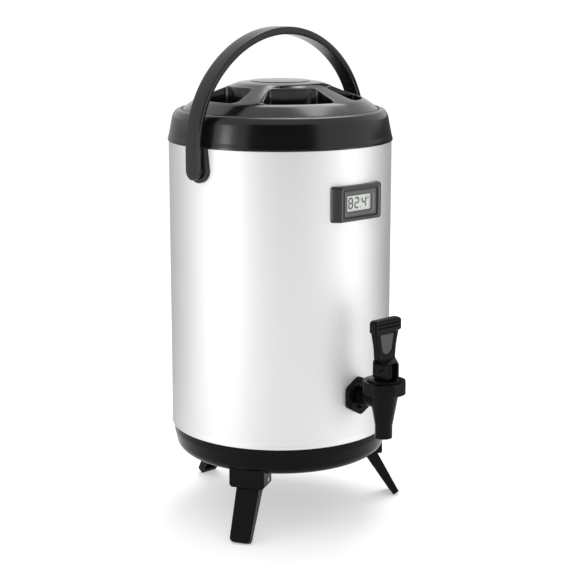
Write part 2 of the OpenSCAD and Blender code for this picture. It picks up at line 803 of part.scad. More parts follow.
// Ear at +X: a drop-shaped tab that follows the drum, with a round boss the handle runs on
module ear_pad() {
    lift = pivot_drop + collar_step / 2;
    translate([0, 0, pivot_z]) difference() {
        union() {
            intersection() {
                slab_x(tank_r, far) {
                    circle(pad_r);
                    polygon([[-pad_r, 0], [pad_r, 0], [pad_neck, lift], [-pad_neck, lift]]);
                }
                difference() {
                    drum(pad_face_r, -far, far);
                    drum(pad_inner_r, -far, far);
                }
            }
            difference() {
                rod_x(body_r, handle_in_x - clear, stud_boss_d / 2);
                drum(pad_inner_r, -far, far);
            }
        }
        rod_x(tank_r, handle_in_x, stud_d / 2 + running);
        rod_x(tank_r, pad_inner_r + stud_head_t, stud_head_d / 2 + running);
    }
}

// Legs and their brackets

// Places of a bracket's two screws, drawn along +X
module screw_places() {
    for (side = [-1, 1]) translate([screw_at_r, side * screw_at_y, 0]) children();
}

// Housing for a leg's knuckle: open below and inwards, with a wall that stops the leg and two fixing ears
module leg_bracket(angle) {
    back_r = leg_pin_r - bracket_back;
    color("dimgray") at_angle(angle) difference() {
        union() {
            slab_x(back_r, bracket_out_r) polygon([
                [-bracket_half_w + bracket_bevel, bracket_z], [bracket_half_w - bracket_bevel, bracket_z],
                [bracket_half_w, bracket_z + bracket_bevel], [bracket_half_w, body_z],
                [-bracket_half_w, body_z], [-bracket_half_w, bracket_z + bracket_bevel]
            ]);
            translate([back_r - ear_len, -bracket_half_w, base_z - slip - ear_t]) {
                cube([ear_len + bracket_cheek_t, 2 * bracket_half_w, ear_t]);
            }
        }
        base_envelope(slip);
        translate([0, -bay_half_w, bracket_z - leg_length]) {
            cube([bracket_stop_r, 2 * bay_half_w, bay_roof_z - bracket_z + leg_length]);
        }
        translate([0, -bay_half_w, bracket_z]) cube([back_r, 2 * bay_half_w, far]);
        translate([leg_pin_r, 0, leg_pin_z]) rod_y(-far, far, leg_pin_d / 2 + running);
        screw_places() drum(screw_d / 2 + running, 0, body_z);
    }
}

// Side of a leg, with its pin at the origin and its foot at the bottom
module leg_side_outline() {
    touch = (leg_knuckle_r - bite) * [cos(leg_taper), -sin(leg_taper)];
    circle(leg_knuckle_r);
    polygon([
        [-leg_foot_t / 2, -leg_length], [leg_foot_t / 2, -leg_length],
        touch, [-touch[0], touch[1]]
    ]);
}

// Front of a leg between two heights, drawn in from its edges
module leg_front_outline(low, high, inset, corner_r) {
    rounded_outline(
        [
            [inset - leg_half_w(low), low], [leg_half_w(low) - inset, low],
            [leg_half_w(high) - inset, high], [inset - leg_half_w(high), high]
        ],
        [corner_r, corner_r, 0, 0]
    );
}

// Two pockets that leave a leg as a channel with one cross rib
module leg_channel() {
    bottom = -leg_length + leg_toe;
    top = -leg_knuckle_r;
    middle = (bottom + top) / 2;
    for (span = [[bottom, middle - leg_wall / 2], [middle + leg_wall / 2, top]]) {
        intersection() {
            slab_y(-far, far) polygon([
                [-far, span[0]], [leg_skin_x(span[0]), span[0]],
                [leg_skin_x(span[1]), span[1]], [-far, span[1]]
            ]);
            slab_x(-far, far) leg_front_outline(span[0], span[1], leg_wall, leg_wall / 2);
        }
    }
}

// Moulded leg, a tapering channel that is open on its inner side
module leg(angle) {
    color("dimgray") difference() {
        at_angle(angle) translate([leg_pin_r, 0, leg_pin_z]) rotate([0, -leg_splay, 0]) difference() {
            intersection() {
                slab_y(-leg_top_w, leg_top_w) leg_side_outline();
                slab_x(-far, far) leg_front_outline(-leg_length, leg_knuckle_r, 0, leg_foot_r);
            }
            leg_channel();
            rod_y(-far, far, leg_pin_d / 2 + running);
        }
        translate([-far, -far, -far]) cube([2 * far, 2 * far, far]);
    }
}

// Steel pin through a bracket's cheeks and a leg's knuckle
module leg_pin(angle) {
    end_y = bracket_half_w - slip;
    color("silver") at_angle(angle) translate([leg_pin_r, 0, leg_pin_z]) rod_y(-end_y, end_y, leg_pin_d / 2);
}

module bracket_screws() {
    head_z = base_z - slip - ear_t;
    color("silver") for (angle = leg_angles) {
        at_angle(angle) screw_places() {
            drum(screw_head_d / 2, head_z - screw_head_h, head_z);
            drum(screw_d / 2, head_z - eps, head_z + screw_len);
        }
    }
}

// Handle

// Inside of the arch, drawn in from the handle's outer face
module arch_outline(inset) {
    leg_foot = handle_leg_h + handle_w;
    open_angle = atan2(handle_arc_x, crown_drop);
    translate([0, handle_spring_z]) {
        translate([-handle_out_x + inset, -leg_foot]) square([2 * (handle_out_x - inset), leg_foot]);
        intersection() {
            for (side = [-1, 1]) translate([side * handle_arc_x, 0]) circle(side_arc_r - inset);
            translate([-far, -handle_leg_h]) square([2 * far, far]);
        }
        translate([0, -crown_drop]) intersection() {
            circle(crown_arc_r - inset);
            wedge(open_angle);
        }
    }
}

// Sector about +Y, open by an angle to each side
module wedge(half) {
    polygon([[0, 0], far * [sin(half), cos(half)], far * [-sin(half), cos(half)]]);
}

// One flat band bent into a three-centred arch, with round ends that hang on the ears
module handle() {
    color("dimgray") rotate([0, 0, collar_turn]) difference() {
        intersection() {
            slab_y(-handle_w / 2, handle_w / 2) difference() {
                arch_outline(0);
                arch_outline(handle_t);
            }
            slab_x(-far, far) translate([0, pivot_z]) {
                circle(handle_w / 2);
                translate([-handle_w / 2, 0]) square([handle_w, far]);
            }
        }
        for (side = [0, 180]) rotate([0, 0, side]) {
            translate([0, 0, pivot_z]) rod_x(tank_r, handle_in_x + stud_grip, stud_d / 2 + running);
        }
    }
}

// Pivot stud: its head sits behind an ear, its shaft in the band's blind hole
module handle_stud(side) {
    color("dimgray") rotate([0, 0, collar_turn + side]) translate([0, 0, pivot_z]) {
        rod_x(pad_inner_r, pad_inner_r + stud_head_t, stud_head_d / 2);
        rod_x(pad_inner_r, handle_in_x + stud_grip - slip, stud_d / 2);
    }
}

// Lid

// Takes the tip off a pocket's corner: two directions lead from the arc's centre to the sides it touches
module pocket_tip(centre, to_side, to_end, r) {
    corner_tip([centre + r * to_side, centre + r * to_end, centre, r], centre + r * (to_side + to_end));
}

// Ring sector with round corners, grown outwards all round by a wall
module pocket_outline(grow) {
    r = pocket_corner_r;
    inner_half = pocket_half_angle - asin(r / (pocket_in_r + r));
    outer_half = pocket_half_angle - asin(r / (pocket_out_r - r));
    difference() {
        intersection() {
            difference() {
                circle(pocket_out_r + grow);
                circle(pocket_in_r - grow);
            }
            translate([0, -grow / sin(pocket_half_angle)]) wedge(pocket_half_angle);
        }
        for (side = [-1, 1]) {
            to_side = [side * cos(pocket_half_angle), -sin(pocket_half_angle)];
            inner = [side * sin(inner_half), cos(inner_half)];
            outer = [side * sin(outer_half), cos(outer_half)];
            pocket_tip((pocket_in_r + r) * inner, to_side, -inner, r + grow);
            pocket_tip((pocket_out_r - r) * outer, to_side, outer, r + grow);
        }
    }
}

module pockets(low, grow) {
    for (k = [0 : pocket_count - 1]) {
        rotate([0, 0, 180 + lid_turn + 360 / pocket_count * k]) {
            translate([0, 0, low]) linear_extrude(hub_top_z - low) pocket_outline(grow);
        }
    }
}

// Moulded cover: rim, skirt, cone and hub turned from one outline, with cups sunk in it for the fingers
module lid_cover() {
    skirt_drop = lid_t * norm([lid_skirt_w, lid_skirt_h]) / lid_skirt_w;
    rim_in_r = lid_r - lid_t;
    rim_in_z = lid_rim_z + lid_skirt_h * lid_t / lid_skirt_w - skirt_drop;
    color("dimgray") difference() {
        rotate_extrude() rounded_outline(
            [
                [0, lid_z], [lid_r, lid_z], [lid_r, lid_rim_z], [lid_skirt_r, lid_skirt_z],
                [hub_r, hub_z], [hub_r, hub_edge_z], [cap_r + slip, hub_top_z],
                [cap_r + slip, cap_seat_z], [0, cap_seat_z]
            ],
            [0, 0, lid_edge_r, lid_soft_r, lid_edge_r, lid_edge_r, 0, 0, 0]
        );
        difference() {
            rotate_extrude() polygon([
                [0, lid_z - over], [rim_in_r, lid_z - over], [rim_in_r, rim_in_z],
                [lid_skirt_r, lid_skirt_z - skirt_drop], [hub_r, hub_z - skirt_drop], [0, hub_z - skirt_drop]
            ]);
            pockets(lid_z, lid_t);
        }
        pockets(pocket_floor_z, 0);
    }
}

// Slightly domed cap over the hub, with a small vent
module lid_cap() {
    top_z = cap_seat_z + cap_t + cap_dome;
    color("dimgray") difference() {
        rotate_extrude() intersection() {
            translate([0, cap_seat_z]) square([cap_r, cap_t + cap_dome]);
            translate([0, top_z - cap_dome_r]) circle(cap_dome_r, $fn = fine);
        }
        drum(vent_d / 2, cap_seat_z + cap_t / 2, top_z + over);
    }
}

// Insulated plug under the cover, which reaches into the tank's mouth
module lid_plug() {
    plug_in_r = plug_r - plug_t;
    plug_floor_z = plug_base_z + plug_t;
    color("gray") rotate_extrude() rounded_outline(
        [
            [0, plug_base_z], [plug_r, plug_base_z], [plug_r, plug_flange_z],
            [lid_r - slip, plug_flange_z], [lid_r - slip, lid_z], [plug_in_r, lid_z],
            [plug_in_r, plug_floor_z], [0, plug_floor_z]
        ],
        [0, plug_corner_r, 0, 0, 0, 0, plug_corner_r - plug_t, 0]
    );
}

module lid_foam() {
    foam_r = plug_r - plug_t - slip;
    foam_z = plug_base_z + plug_t + slip;
    color("khaki") rotate_extrude() rounded_outline(
        [[0, foam_z], [foam_r, foam_z], [foam_r, lid_z - slip], [0, lid_z - slip]],
        [0, plug_corner_r - plug_t, 0, 0]
    );
}

// Rubber ring on the plug's flange, which the lid's weight presses on the tank's rim
module lid_gasket() {
    low = tank_rim_z + seal_gap;
    inner_r = gasket_out_r - gasket_w;
    color("black") rotate_extrude() rounded_outline(
        [[inner_r, low], [gasket_out_r, low], [gasket_out_r, plug_flange_z], [inner_r, plug_flange_z]],
        [seal_lip_r, seal_lip_r, 0, 0]
    );
}

// Thermometer

// Frame that follows the drum, with a sleeve through the steel for the module
module thermometer_frame() {
    color("dimgray") translate([0, 0, thermo_z]) difference() {
        union() {
            difference() {
                intersection() {
                    translate([0, 0, -thermo_h / 2]) linear_extrude(thermo_h) frame_plan();
                    slab_y(-far, 0) rounded_rect(thermo_back_w, thermo_h, thermo_corner_r);
                }
                drum(body_r + slip, -thermo_h, thermo_h);
            }
            slab_y(bezel_back_y, sleeve_back_y) square([sleeve_w, sleeve_h], true);
        }
        slab_y(-far, bezel_back_y) rounded_rect(bezel_w + 2 * slip, bezel_h + 2 * slip, bezel_corner_r);
        slab_y(-far, 0) square([case_w + 2 * slip, case_h + 2 * slip], true);
    }
}

// Frame seen from above: a flat front with slanting ends that run out on the steel
module frame_plan() {
    back = -sqrt(pow(body_r, 2) - pow(thermo_back_w / 2, 2));
    rounded_outline(
        [
            [-thermo_front_w / 2, frame_front_y], [thermo_front_w / 2, frame_front_y],
            [thermo_back_w / 2, back], [-thermo_back_w / 2, back]
        ],
        [thermo_corner_r, thermo_corner_r, 0, 0]
    );
}

// Module case: bezel with a display window, and a box behind it
module thermometer_case() {
    color("dimgray") translate([0, 0, thermo_z]) difference() {
        union() {
            slab_y(bezel_front_y, bezel_back_y) rounded_rect(bezel_w, bezel_h, bezel_corner_r);
            slab_y(bezel_back_y - eps, case_back_y) square([case_w, case_h], true);
        }
        slab_y(bezel_back_y, case_back_y + over) square([case_room_w, case_room_h], true);
        translate([window_x, 0, 0]) slab_y(-far, 0) rounded_rect(window_w, window_h, bezel_corner_r);
    }
}

// A flat piece that fills the inside of the case
module case_layer(y, t) {
    translate([0, 0, thermo_z]) slab_y(y, y + t) {
        square([case_room_w - 2 * slip, case_room_h - 2 * slip], true);
    }
}

module thermometer_lens() {
    color("lightsteelblue") case_layer(lens_y, lens_t);
}

module display_panel() {
    color("darkseagreen") case_layer(panel_y, panel_t);
}

module circuit_board() {
    color("seagreen") case_layer(board_y, board_t);
}

module button_cells() {
    color("silver") for (side = [-1, 1]) {
        translate([side * cell_x, 0, thermo_z]) rod_y(cell_y, cell_y + cell_t, cell_d / 2);
    }
}

module thermometer_back() {
    color("dimgray") difference() {
        case_layer(back_y, case_t);
        translate([probe_x, 0, lead_z]) rod_y(-far, 0, lead_d / 2 + running);
    }
}

// Sensor tube that stands against the tank's wall
module temperature_probe() {
    color("silver") translate([probe_x, probe_y, probe_top_z - probe_len]) cylinder(h = probe_len, d = probe_d);
}

// Two-core lead from the circuit board through the back cover and down to the sensor
module probe_lead() {
    color("black") translate([probe_x, 0, lead_z]) {
        rod_y(board_y + board_t, probe_y, lead_d / 2);
        translate([0, probe_y, 0]) sphere(d = lead_d);
        translate([0, probe_y, probe_top_z - lead_z]) cylinder(h = lead_z - probe_top_z, d = lead_d);
    }
}

// Tap

// Moulded tap: nozzle and cone turned round the upright axis, shank and shoulder turned round the other
module tap_body() {
    color("dimgray") difference() {
        union() {
            translate([0, tap_y, 0]) rotate_extrude() polygon([
                [0, nozzle_z], [nozzle_d / 2, nozzle_z], [nozzle_d / 2, nozzle_z + nozzle_h],
                [cone_d / 2, cone_top_z], [spigot_d / 2, cone_top_z], [spigot_d / 2, spigot_top_z],
                [0, spigot_top_z]
            ]);
            translate([0, 0, shank_z]) {
                rod_y(tap_y, shank_end_y, shank_d / 2);
                rod_y(nut_front_y - shoulder_t, nut_front_y, shoulder_d / 2);
            }
        }
        translate([0, tap_y, 0]) rotate_extrude() polygon([
            [0, nozzle_z - over], [nozzle_bore_d / 2, nozzle_z - over], [nozzle_bore_d / 2, seat_z],
            [seat_room_d / 2, seat_z], [seat_room_d / 2, seat_z + seat_room_h],
            [chamber_d / 2, cone_top_z - chamber_drop], [chamber_d / 2, spigot_top_z + over],
            [0, spigot_top_z + over]
        ]);
        translate([0, 0, shank_z]) rod_y(tap_y, shank_end_y + over, shank_bore_d / 2);
    }
}

// Prism with its upper corners turned off, as on a nut
module turned_prism(sides, d, h, bevel) {
    intersection() {
        cylinder(h = h, d = d, $fn = sides);
        rotate_extrude() polygon([
            [0, 0], [d / 2, 0], [d / 2, h - bevel / 2], [d / 2 - bevel, h], [0, h]
        ]);
    }
}

// Eight-sided cap screwed on the spigot, with a flat land for the lever to roll on
module tap_bonnet() {
    color("dimgray") translate([0, tap_y, 0]) difference() {
        union() {
            translate([0, 0, cone_top_z]) turned_prism(bonnet_sides, bonnet_d, bonnet_h, nut_bevel);
            drum(land_d / 2, bonnet_top_z - over, land_z);
        }
        drum(spigot_d / 2 + running, cone_top_z - over, bonnet_roof_z);
        drum(stem_d / 2 + running, cone_top_z, land_z + over);
    }
}

// A six-sided nut on the shank, with a corner up and its turned face to the front
module shank_nut(front_y, d, t) {
    color("dimgray") translate([0, 0, shank_z]) difference() {
        translate([0, front_y + t, 0]) rotate([90, 180 / nut_sides, 0]) {
            turned_prism(nut_sides, d, t, nut_bevel);
        }
        rod_y(front_y - over, front_y + t + over, shank_d / 2 + running);
    }
}

module tap_nut() {
    shank_nut(nut_front_y, nut_d, nut_t);
}

module tap_inner_nut() {
    shank_nut(washer_t - tank_r, inner_nut_d, inner_nut_t);
}

// Rubber washer pressed to the outside of the drum
module tap_washer() {
    color("black") difference() {
        translate([0, 0, shank_z]) difference() {
            rod_y(nut_back_y, nut_back_y + 2 * washer_t, washer_d / 2);
            rod_y(-far, 0, shank_hole_r);
        }
        drum(body_r + running, 0, collar_z);
    }
}

// Rubber washer pressed to the inside of the tank
module tap_inner_washer() {
    color("black") intersection() {
        translate([0, 0, shank_z]) difference() {
            rod_y(-tank_r - washer_t, washer_t - tank_r, washer_d / 2);
            rod_y(-far, 0, shank_hole_r);
        }
        drum(tank_r - running, 0, collar_z);
    }
}

// Valve stem: tip in the seat cup, a collar under the spring and a round eye for the lever's pin
module valve_stem() {
    color("gray") translate([0, tap_y, 0]) difference() {
        union() {
            drum(stem_tip_d / 2, spring_collar_z - stem_tip_h, spring_base_z);
            drum(spring_collar_d / 2, spring_collar_z, spring_base_z);
            drum(stem_d / 2, spring_collar_z, lever_pin_z);
            translate([0, 0, lever_pin_z]) sphere(d = stem_d);
        }
        translate([0, 0, lever_pin_z]) rod_x(-stem_d, stem_d, lever_pin_d / 2 + running);
    }
}

module valve_cup() {
    color("black") translate([0, tap_y, 0]) difference() {
        drum(cup_d / 2, cup_z, spring_collar_z);
        drum(stem_tip_d / 2 + running, spring_collar_z - stem_tip_h - slip, spring_collar_z + over);
    }
}

// Helical spring: rings of points carried up a helix, joined by triangles
coil_turn_steps = 8;
coil_steps = coil_turn_steps * spring_turns;
coil_sides = 6;
coil_low_z = spring_base_z + spring_wire_d / 2 + slip;
coil_high_z = bonnet_roof_z - spring_wire_d / 2 - slip;
function coil_ring(i, out, up) =
    let (turn = 360 * i / coil_turn_steps)
    let (z = coil_low_z + (coil_high_z - coil_low_z) * i / coil_steps)
    [(spring_r + out) * cos(turn), (spring_r + out) * sin(turn), z + up];
function coil_point(i, j) =
    let (around = 360 * j / coil_sides)
    coil_ring(i, spring_wire_d / 2 * cos(around), spring_wire_d / 2 * sin(around));
function coil_index(i, j) = i * coil_sides + j % coil_sides;
coil_gap = min([
    for (i = [0 : coil_steps - coil_turn_steps])
        for (k = [i + coil_turn_steps / 2 : coil_steps])
            norm(coil_ring(k, 0, 0) - coil_ring(i, 0, 0)) - spring_wire_d
]);
echo(least_spring_gap = coil_gap);

module valve_spring() {
    last = coil_steps * coil_sides;
    points = [for (i = [0 : coil_steps]) for (j = [0 : coil_sides - 1]) coil_point(i, j)];
    sides = [
        for (i = [0 : coil_steps - 1])
            for (j = [0 : coil_sides - 1])
                each [
                    [coil_index(i, j), coil_index(i, j + 1), coil_index(i + 1, j + 1)],
                    [coil_index(i, j), coil_index(i + 1, j + 1), coil_index(i + 1, j)]
                ]
    ];
    start = [for (j = [1 : coil_sides - 2]) [0, j + 1, j]];
    end = [for (j = [1 : coil_sides - 2]) [last, last + j, last + j + 1]];
    color("silver") translate([0, tap_y, 0]) polyhedron(points, concat(sides, start, end));
}

// Lever

// Lever seen from its side, with its pin at the origin and its front to the left
module lever_side_outline() {
    half_t = lever_paddle_t / 2;
    foot = lever_foot_z - lever_pin_z;
    bar_top = lever_bar_rise + lever_bar_h;
    rounded_outline(
        [
            [-lever_foot_front, foot], [lever_foot_back, foot], [lever_foot_back, lever_foot_top],
            [half_t, lever_neck_rise], [half_t, bar_top], [-half_t - lever_bar_proud, bar_top],
            [-half_t - lever_bar_proud, lever_bar_rise], [-half_t, lever_bar_rise - lever_bar_proud],
            [-half_t, lever_neck_rise], [-lever_foot_front, lever_foot_top]
        ],
        [
            lever_cam_r, lever_edge_r, lever_edge_r, lever_edge_r, lever_edge_r, lever_edge_r,
            lever_bar_proud / 2, 0, lever_edge_r, lever_edge_r
        ]
    );
}

// Lever seen from its front
module lever_front_outline() {
    foot = lever_foot_z - lever_pin_z;
    bar_top = lever_bar_rise + lever_bar_h;
    right = [
        [lever_foot_w / 2, foot], [lever_foot_w / 2, lever_foot_top], [lever_neck_w / 2, lever_neck_rise],
        [lever_paddle_w / 2, lever_bar_rise - lever_bar_proud], [lever_bar_w / 2, lever_bar_rise],
        [lever_bar_w / 2, bar_top]
    ];
    radii = [0, lever_edge_r, lever_edge_r, 0, lever_bar_proud / 2, lever_edge_r];
    last = len(right) - 1;
    rounded_outline(
        concat(right, [for (i = [last : -1 : 0]) [-right[i][0], right[i][1]]]),
        concat(radii, [for (i = [last : -1 : 0]) radii[i]])
    );
}

// Bare shield-shaped panel sunk in the paddle's front
module lever_panel() {
    low_w = lever_neck_w / 2 - lever_panel_border;
    high_w = lever_paddle_w / 2 - lever_panel_border;
    low = lever_neck_rise + lever_panel_border;
    high = lever_bar_rise - lever_bar_proud - lever_panel_border / 2;
    slab_y(-far, lever_panel_depth - lever_paddle_t / 2) rounded_outline(
        [[-low_w, low], [low_w, low], [high_w, high], [-high_w, high]],
        [low_w, low_w, lever_panel_depth, lever_panel_depth]
    );
}

// Forked lever: a rolling foot slotted for the stem, a waisted neck and a paddle with a ridged top bar
module tap_lever() {
    bar_front = -lever_paddle_t / 2 - lever_bar_proud;
    stem_room = stem_d / 2 + clear;
    color("dimgray") translate([0, tap_y, lever_pin_z]) difference() {
        union() {
            intersection() {
                slab_x(-far, far) lever_side_outline();
                slab_y(-far, far) lever_front_outline();
            }
            slab_x(-lever_foot_w / 2 - lever_boss_proud, 0) intersection() {
                translate([0, lever_foot_top - lever_edge_r / 2]) circle(lever_boss_r);
                translate([-lever_boss_r, lever_foot_top - lever_edge_r / 2 - lever_boss_r]) {
                    square([2 * lever_boss_r, lever_boss_r]);
                }
            }
        }
        slab_x(-lever_slot_w / 2, lever_slot_w / 2) {
            circle(stem_room);
            translate([-far, -far]) square([far + stem_room, far]);
            translate([-far, -eps]) square([far, stem_room]);
        }
        rod_x(-lever_foot_w / 2, far, lever_pin_d / 2 + running);
        lever_panel();
        for (i = [1 : lever_groove_count]) {
            z = lever_bar_rise + lever_bar_h * i / (lever_groove_count + 1);
            translate([-far, bar_front - far + lever_groove_depth, z - lever_groove_w / 2]) {
                cube([2 * far, far, lever_groove_w]);
            }
        }
    }
}

module lever_pin() {
    color("silver") translate([0, tap_y, lever_pin_z]) {
        rod_x(-lever_foot_w / 2, lever_foot_w / 2 - slip, lever_pin_d / 2);
    }
}

outer_shell();
inner_tank();
insulation_foam();
base_pan();
top_collar();
leg_bracket(leg_angles[0]);  // leg_bracket_left
leg_bracket(leg_angles[1]);  // leg_bracket_right
leg_bracket(leg_angles[2]);  // leg_bracket_rear
leg(leg_angles[0]);  // leg_left
leg(leg_angles[1]);  // leg_right
leg(leg_angles[2]);  // leg_rear
leg_pin(leg_angles[0]);  // leg_pin_left
leg_pin(leg_angles[1]);  // leg_pin_right
leg_pin(leg_angles[2]);  // leg_pin_rear
bracket_screws();
handle();
handle_stud(180);  // handle_stud_left
handle_stud(0);  // handle_stud_right
lid_cover();
lid_cap();
lid_plug();
lid_foam();
lid_gasket();
thermometer_frame();
thermometer_case();
thermometer_lens();
display_panel();
circuit_board();
button_cells();
thermometer_back();
temperature_probe();
probe_lead();
tap_body();
tap_bonnet();
tap_nut();
tap_washer();
tap_inner_nut();
tap_inner_washer();
valve_stem();
valve_cup();
valve_spring();
tap_lever();
lever_pin();
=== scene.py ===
"""Insulated beverage dispenser: a steel drum on folding legs, with a black lid, handle, thermometer and lever tap.

Sizes of the pieces are in millimetres, and those of the materials and the studio in metres.
"""

import bpy
import numpy as np
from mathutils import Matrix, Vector


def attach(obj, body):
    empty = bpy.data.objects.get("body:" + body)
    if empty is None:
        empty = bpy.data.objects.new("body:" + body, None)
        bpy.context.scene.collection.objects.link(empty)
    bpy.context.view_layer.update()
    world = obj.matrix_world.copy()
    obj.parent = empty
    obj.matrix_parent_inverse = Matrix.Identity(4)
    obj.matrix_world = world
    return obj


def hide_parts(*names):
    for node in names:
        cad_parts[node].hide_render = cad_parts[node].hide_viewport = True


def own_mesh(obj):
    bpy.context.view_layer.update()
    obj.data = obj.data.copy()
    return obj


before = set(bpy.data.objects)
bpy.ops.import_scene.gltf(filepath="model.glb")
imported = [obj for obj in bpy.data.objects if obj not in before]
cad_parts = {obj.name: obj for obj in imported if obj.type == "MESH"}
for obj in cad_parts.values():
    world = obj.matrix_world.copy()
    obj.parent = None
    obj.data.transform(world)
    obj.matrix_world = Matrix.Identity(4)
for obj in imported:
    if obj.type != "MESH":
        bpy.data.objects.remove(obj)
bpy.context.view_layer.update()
scene = bpy.context.scene

# Inner tank and foam: a deep-drawn stainless tank with a rolled rim, set in rigid foam that fills the drum's wall.
# The tank's satin grain runs round it, and the foam shows its fine cells.


def blank_material(name):
    """A material with an empty node tree, with that tree's calls for a new node and a new link."""
    material = bpy.data.materials.new(name)
    material.use_nodes = True
    tree = material.node_tree
    tree.nodes.clear()
    return material, tree.nodes.new, tree.links.new


def finish(
    name, color, rough, metallic=0.0, specular=0.5, grain=900.0, lift=0.0, spread=0.06, stretch=(1, 1, 1), edge=0.0,
    edge_shade_tint=(1, 1, 1, 1),
):
    """A moulded or rolled finish: fine noise in object space varies colour and roughness and lifts the surface.

    grain is the noise's scale per metre and stretch draws it out; edge rounds the shading of sharp edges by its
    radius in metres; the edge tint is the tone of a metal's reflection where it turns away, and a dark one paints
    shade there.
    """
    material, add, link = blank_material(name)
    shader = add("ShaderNodeBsdfPrincipled")
    shader.inputs["Metallic"].default_value = metallic
    shader.inputs["Specular IOR Level"].default_value = specular
    shader.inputs["Specular Tint"].default_value = edge_shade_tint
    place = add("ShaderNodeTexCoord")
    drawn = add("ShaderNodeMapping")
    drawn.inputs["Scale"].default_value = stretch
    noise = add("ShaderNodeTexNoise")
    noise.inputs["Scale"].default_value = grain
    noise.inputs["Detail"].default_value = 3.0
    tint = add("ShaderNodeMapRange")
    tint.inputs["To Min"].default_value = 1 - spread
    tint.inputs["To Max"].default_value = 1 + spread
    shade = add("ShaderNodeVectorMath")
    shade.operation = "SCALE"
    shade.inputs[0].default_value = color
    polish = add("ShaderNodeMapRange")
    polish.inputs["To Min"].default_value = rough * (1 - 2 * spread)
    polish.inputs["To Max"].default_value = rough * (1 + 2 * spread)
    bump = add("ShaderNodeBump")
    bump.inputs["Strength"].default_value = lift
    bump.inputs["Distance"].default_value = 0.0002
    link(place.outputs["Object"], drawn.inputs["Vector"])
    link(drawn.outputs["Vector"], noise.inputs["Vector"])
    link(noise.outputs["Fac"], tint.inputs["Value"])
    link(noise.outputs["Fac"], polish.inputs["Value"])
    link(noise.outputs["Fac"], bump.inputs["Height"])
    link(tint.outputs["Result"], shade.inputs["Scale"])
    link(shade.outputs["Vector"], shader.inputs["Base Color"])
    link(polish.outputs["Result"], shader.inputs["Roughness"])
    link(bump.outputs["Normal"], shader.inputs["Normal"])
    if edge:
        soft_edge = add("ShaderNodeBevel")
        soft_edge.inputs["Radius"].default_value = edge
        link(soft_edge.outputs["Normal"], bump.inputs["Normal"])
    link(shader.outputs["BSDF"], add("ShaderNodeOutputMaterial").inputs["Surface"])
    return material


def dress(material, *names):
    """Puts one material on CAD nodes."""
    for name in names:
        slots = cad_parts[name].data.materials
        slots.clear()
        slots.append(material)


tank_steel = finish("tank_steel", (0.68, 0.68, 0.69), 0.3, metallic=1.0, grain=60, spread=0.03, stretch=(1, 1, 40))
foam = finish("foam", (0.86, 0.79, 0.55), 0.95, grain=400, lift=0.6, spread=0.12)
dress(tank_steel, "inner_tank")
dress(foam, "insulation_foam", "lid_foam")

# Outer shell: bright stainless sheet rolled to a drum, with a folded hem at its foot. Its mill grain runs upright and
# is so fine that it only softens what the steel mirrors. A dark edge tint paints shade where the steel turns away.

drum_steel = finish(
    "drum_steel", (0.75, 0.75, 0.76), 0.6, metallic=1.0, grain=70, spread=0.02, stretch=(12, 12, 0.4),
    edge_shade_tint=(0.2, 0.2, 0.21, 1),
)
dress(drum_steel, "outer_shell")

# Base pan, leg brackets and legs: deep black mouldings. The pan's wall goes up inside the shell's hem, each bracket
# is screwed under the pan, and each leg turns on a steel pin between its bracket's cheeks.

deep_black = finish(
    "deep_black", (0.003, 0.003, 0.0033), 0.2, specular=0.09, grain=2200, lift=0.1, spread=0.12, edge=0.0008
)
pin_steel = finish("pin_steel", (0.6, 0.6, 0.61), 0.28, metallic=1.0, grain=900)
for side in ("left", "right", "rear"):
    dress(deep_black, f"leg_bracket_{side}", f"leg_{side}")
    dress(pin_steel, f"leg_pin_{side}")
dress(deep_black, "base_pan")
dress(pin_steel, "bracket_screws")

# Top collar: a moulded black ring that caps the shell and carries the lid's seat, with a thin lip round its mouth,
# a slight flare at its lower edge, and two ears that hang down over the steel for the handle's studs.


def rounded(corners, radii, steps=6, closed=True):
    """An outline with round corners: each corner becomes an arc of its radius that touches both its sides.

    With u and v the directions to the neighbours and h half the angle between them, the arc's centre lies on the
    bisector at radius / sin(h), and its points turn evenly from one touching point to the other.
    """
    points, radii = np.asarray(corners, float), np.maximum(radii, 1e-6)[:, None]
    before, after = np.roll(points, 1, 0) - points, np.roll(points, -1, 0) - points
    u = before / np.linalg.norm(before, axis=1, keepdims=True)
    v = after / np.linalg.norm(after, axis=1, keepdims=True)
    half = np.arccos(np.clip((u * v).sum(1, keepdims=True), -1, 1)) / 2
    middle = (u + v) / np.linalg.norm(u + v, axis=1, keepdims=True)
    centre = points + middle * radii / np.sin(half)
    start, end = points + u * radii / np.tan(half) - centre, points + v * radii / np.tan(half) - centre
    turn = (np.pi - 2 * half)[:, None]
    k = np.linspace(0, 1, steps)[None, :, None]
    swung = (np.sin((1 - k) * turn) * start[:, None] + np.sin(k * turn) * end[:, None]) / np.sin(turn)
    arcs = centre[:, None] + swung
    if closed:
        return np.concatenate([arcs.reshape(-1, 2), arcs[0, :1]])
    return np.concatenate([points[:1], arcs[1:-1].reshape(-1, 2), points[-1:]])


def turned(outline, angles):
    """A lathe grid: each point (r, z) of the outline goes round to x = r sin(a), y = -r cos(a)."""
    r, z = outline[:, 0, None], outline[:, 1, None]
    return np.stack([r * np.sin(angles), -r * np.cos(angles), z + 0 * angles], -1)


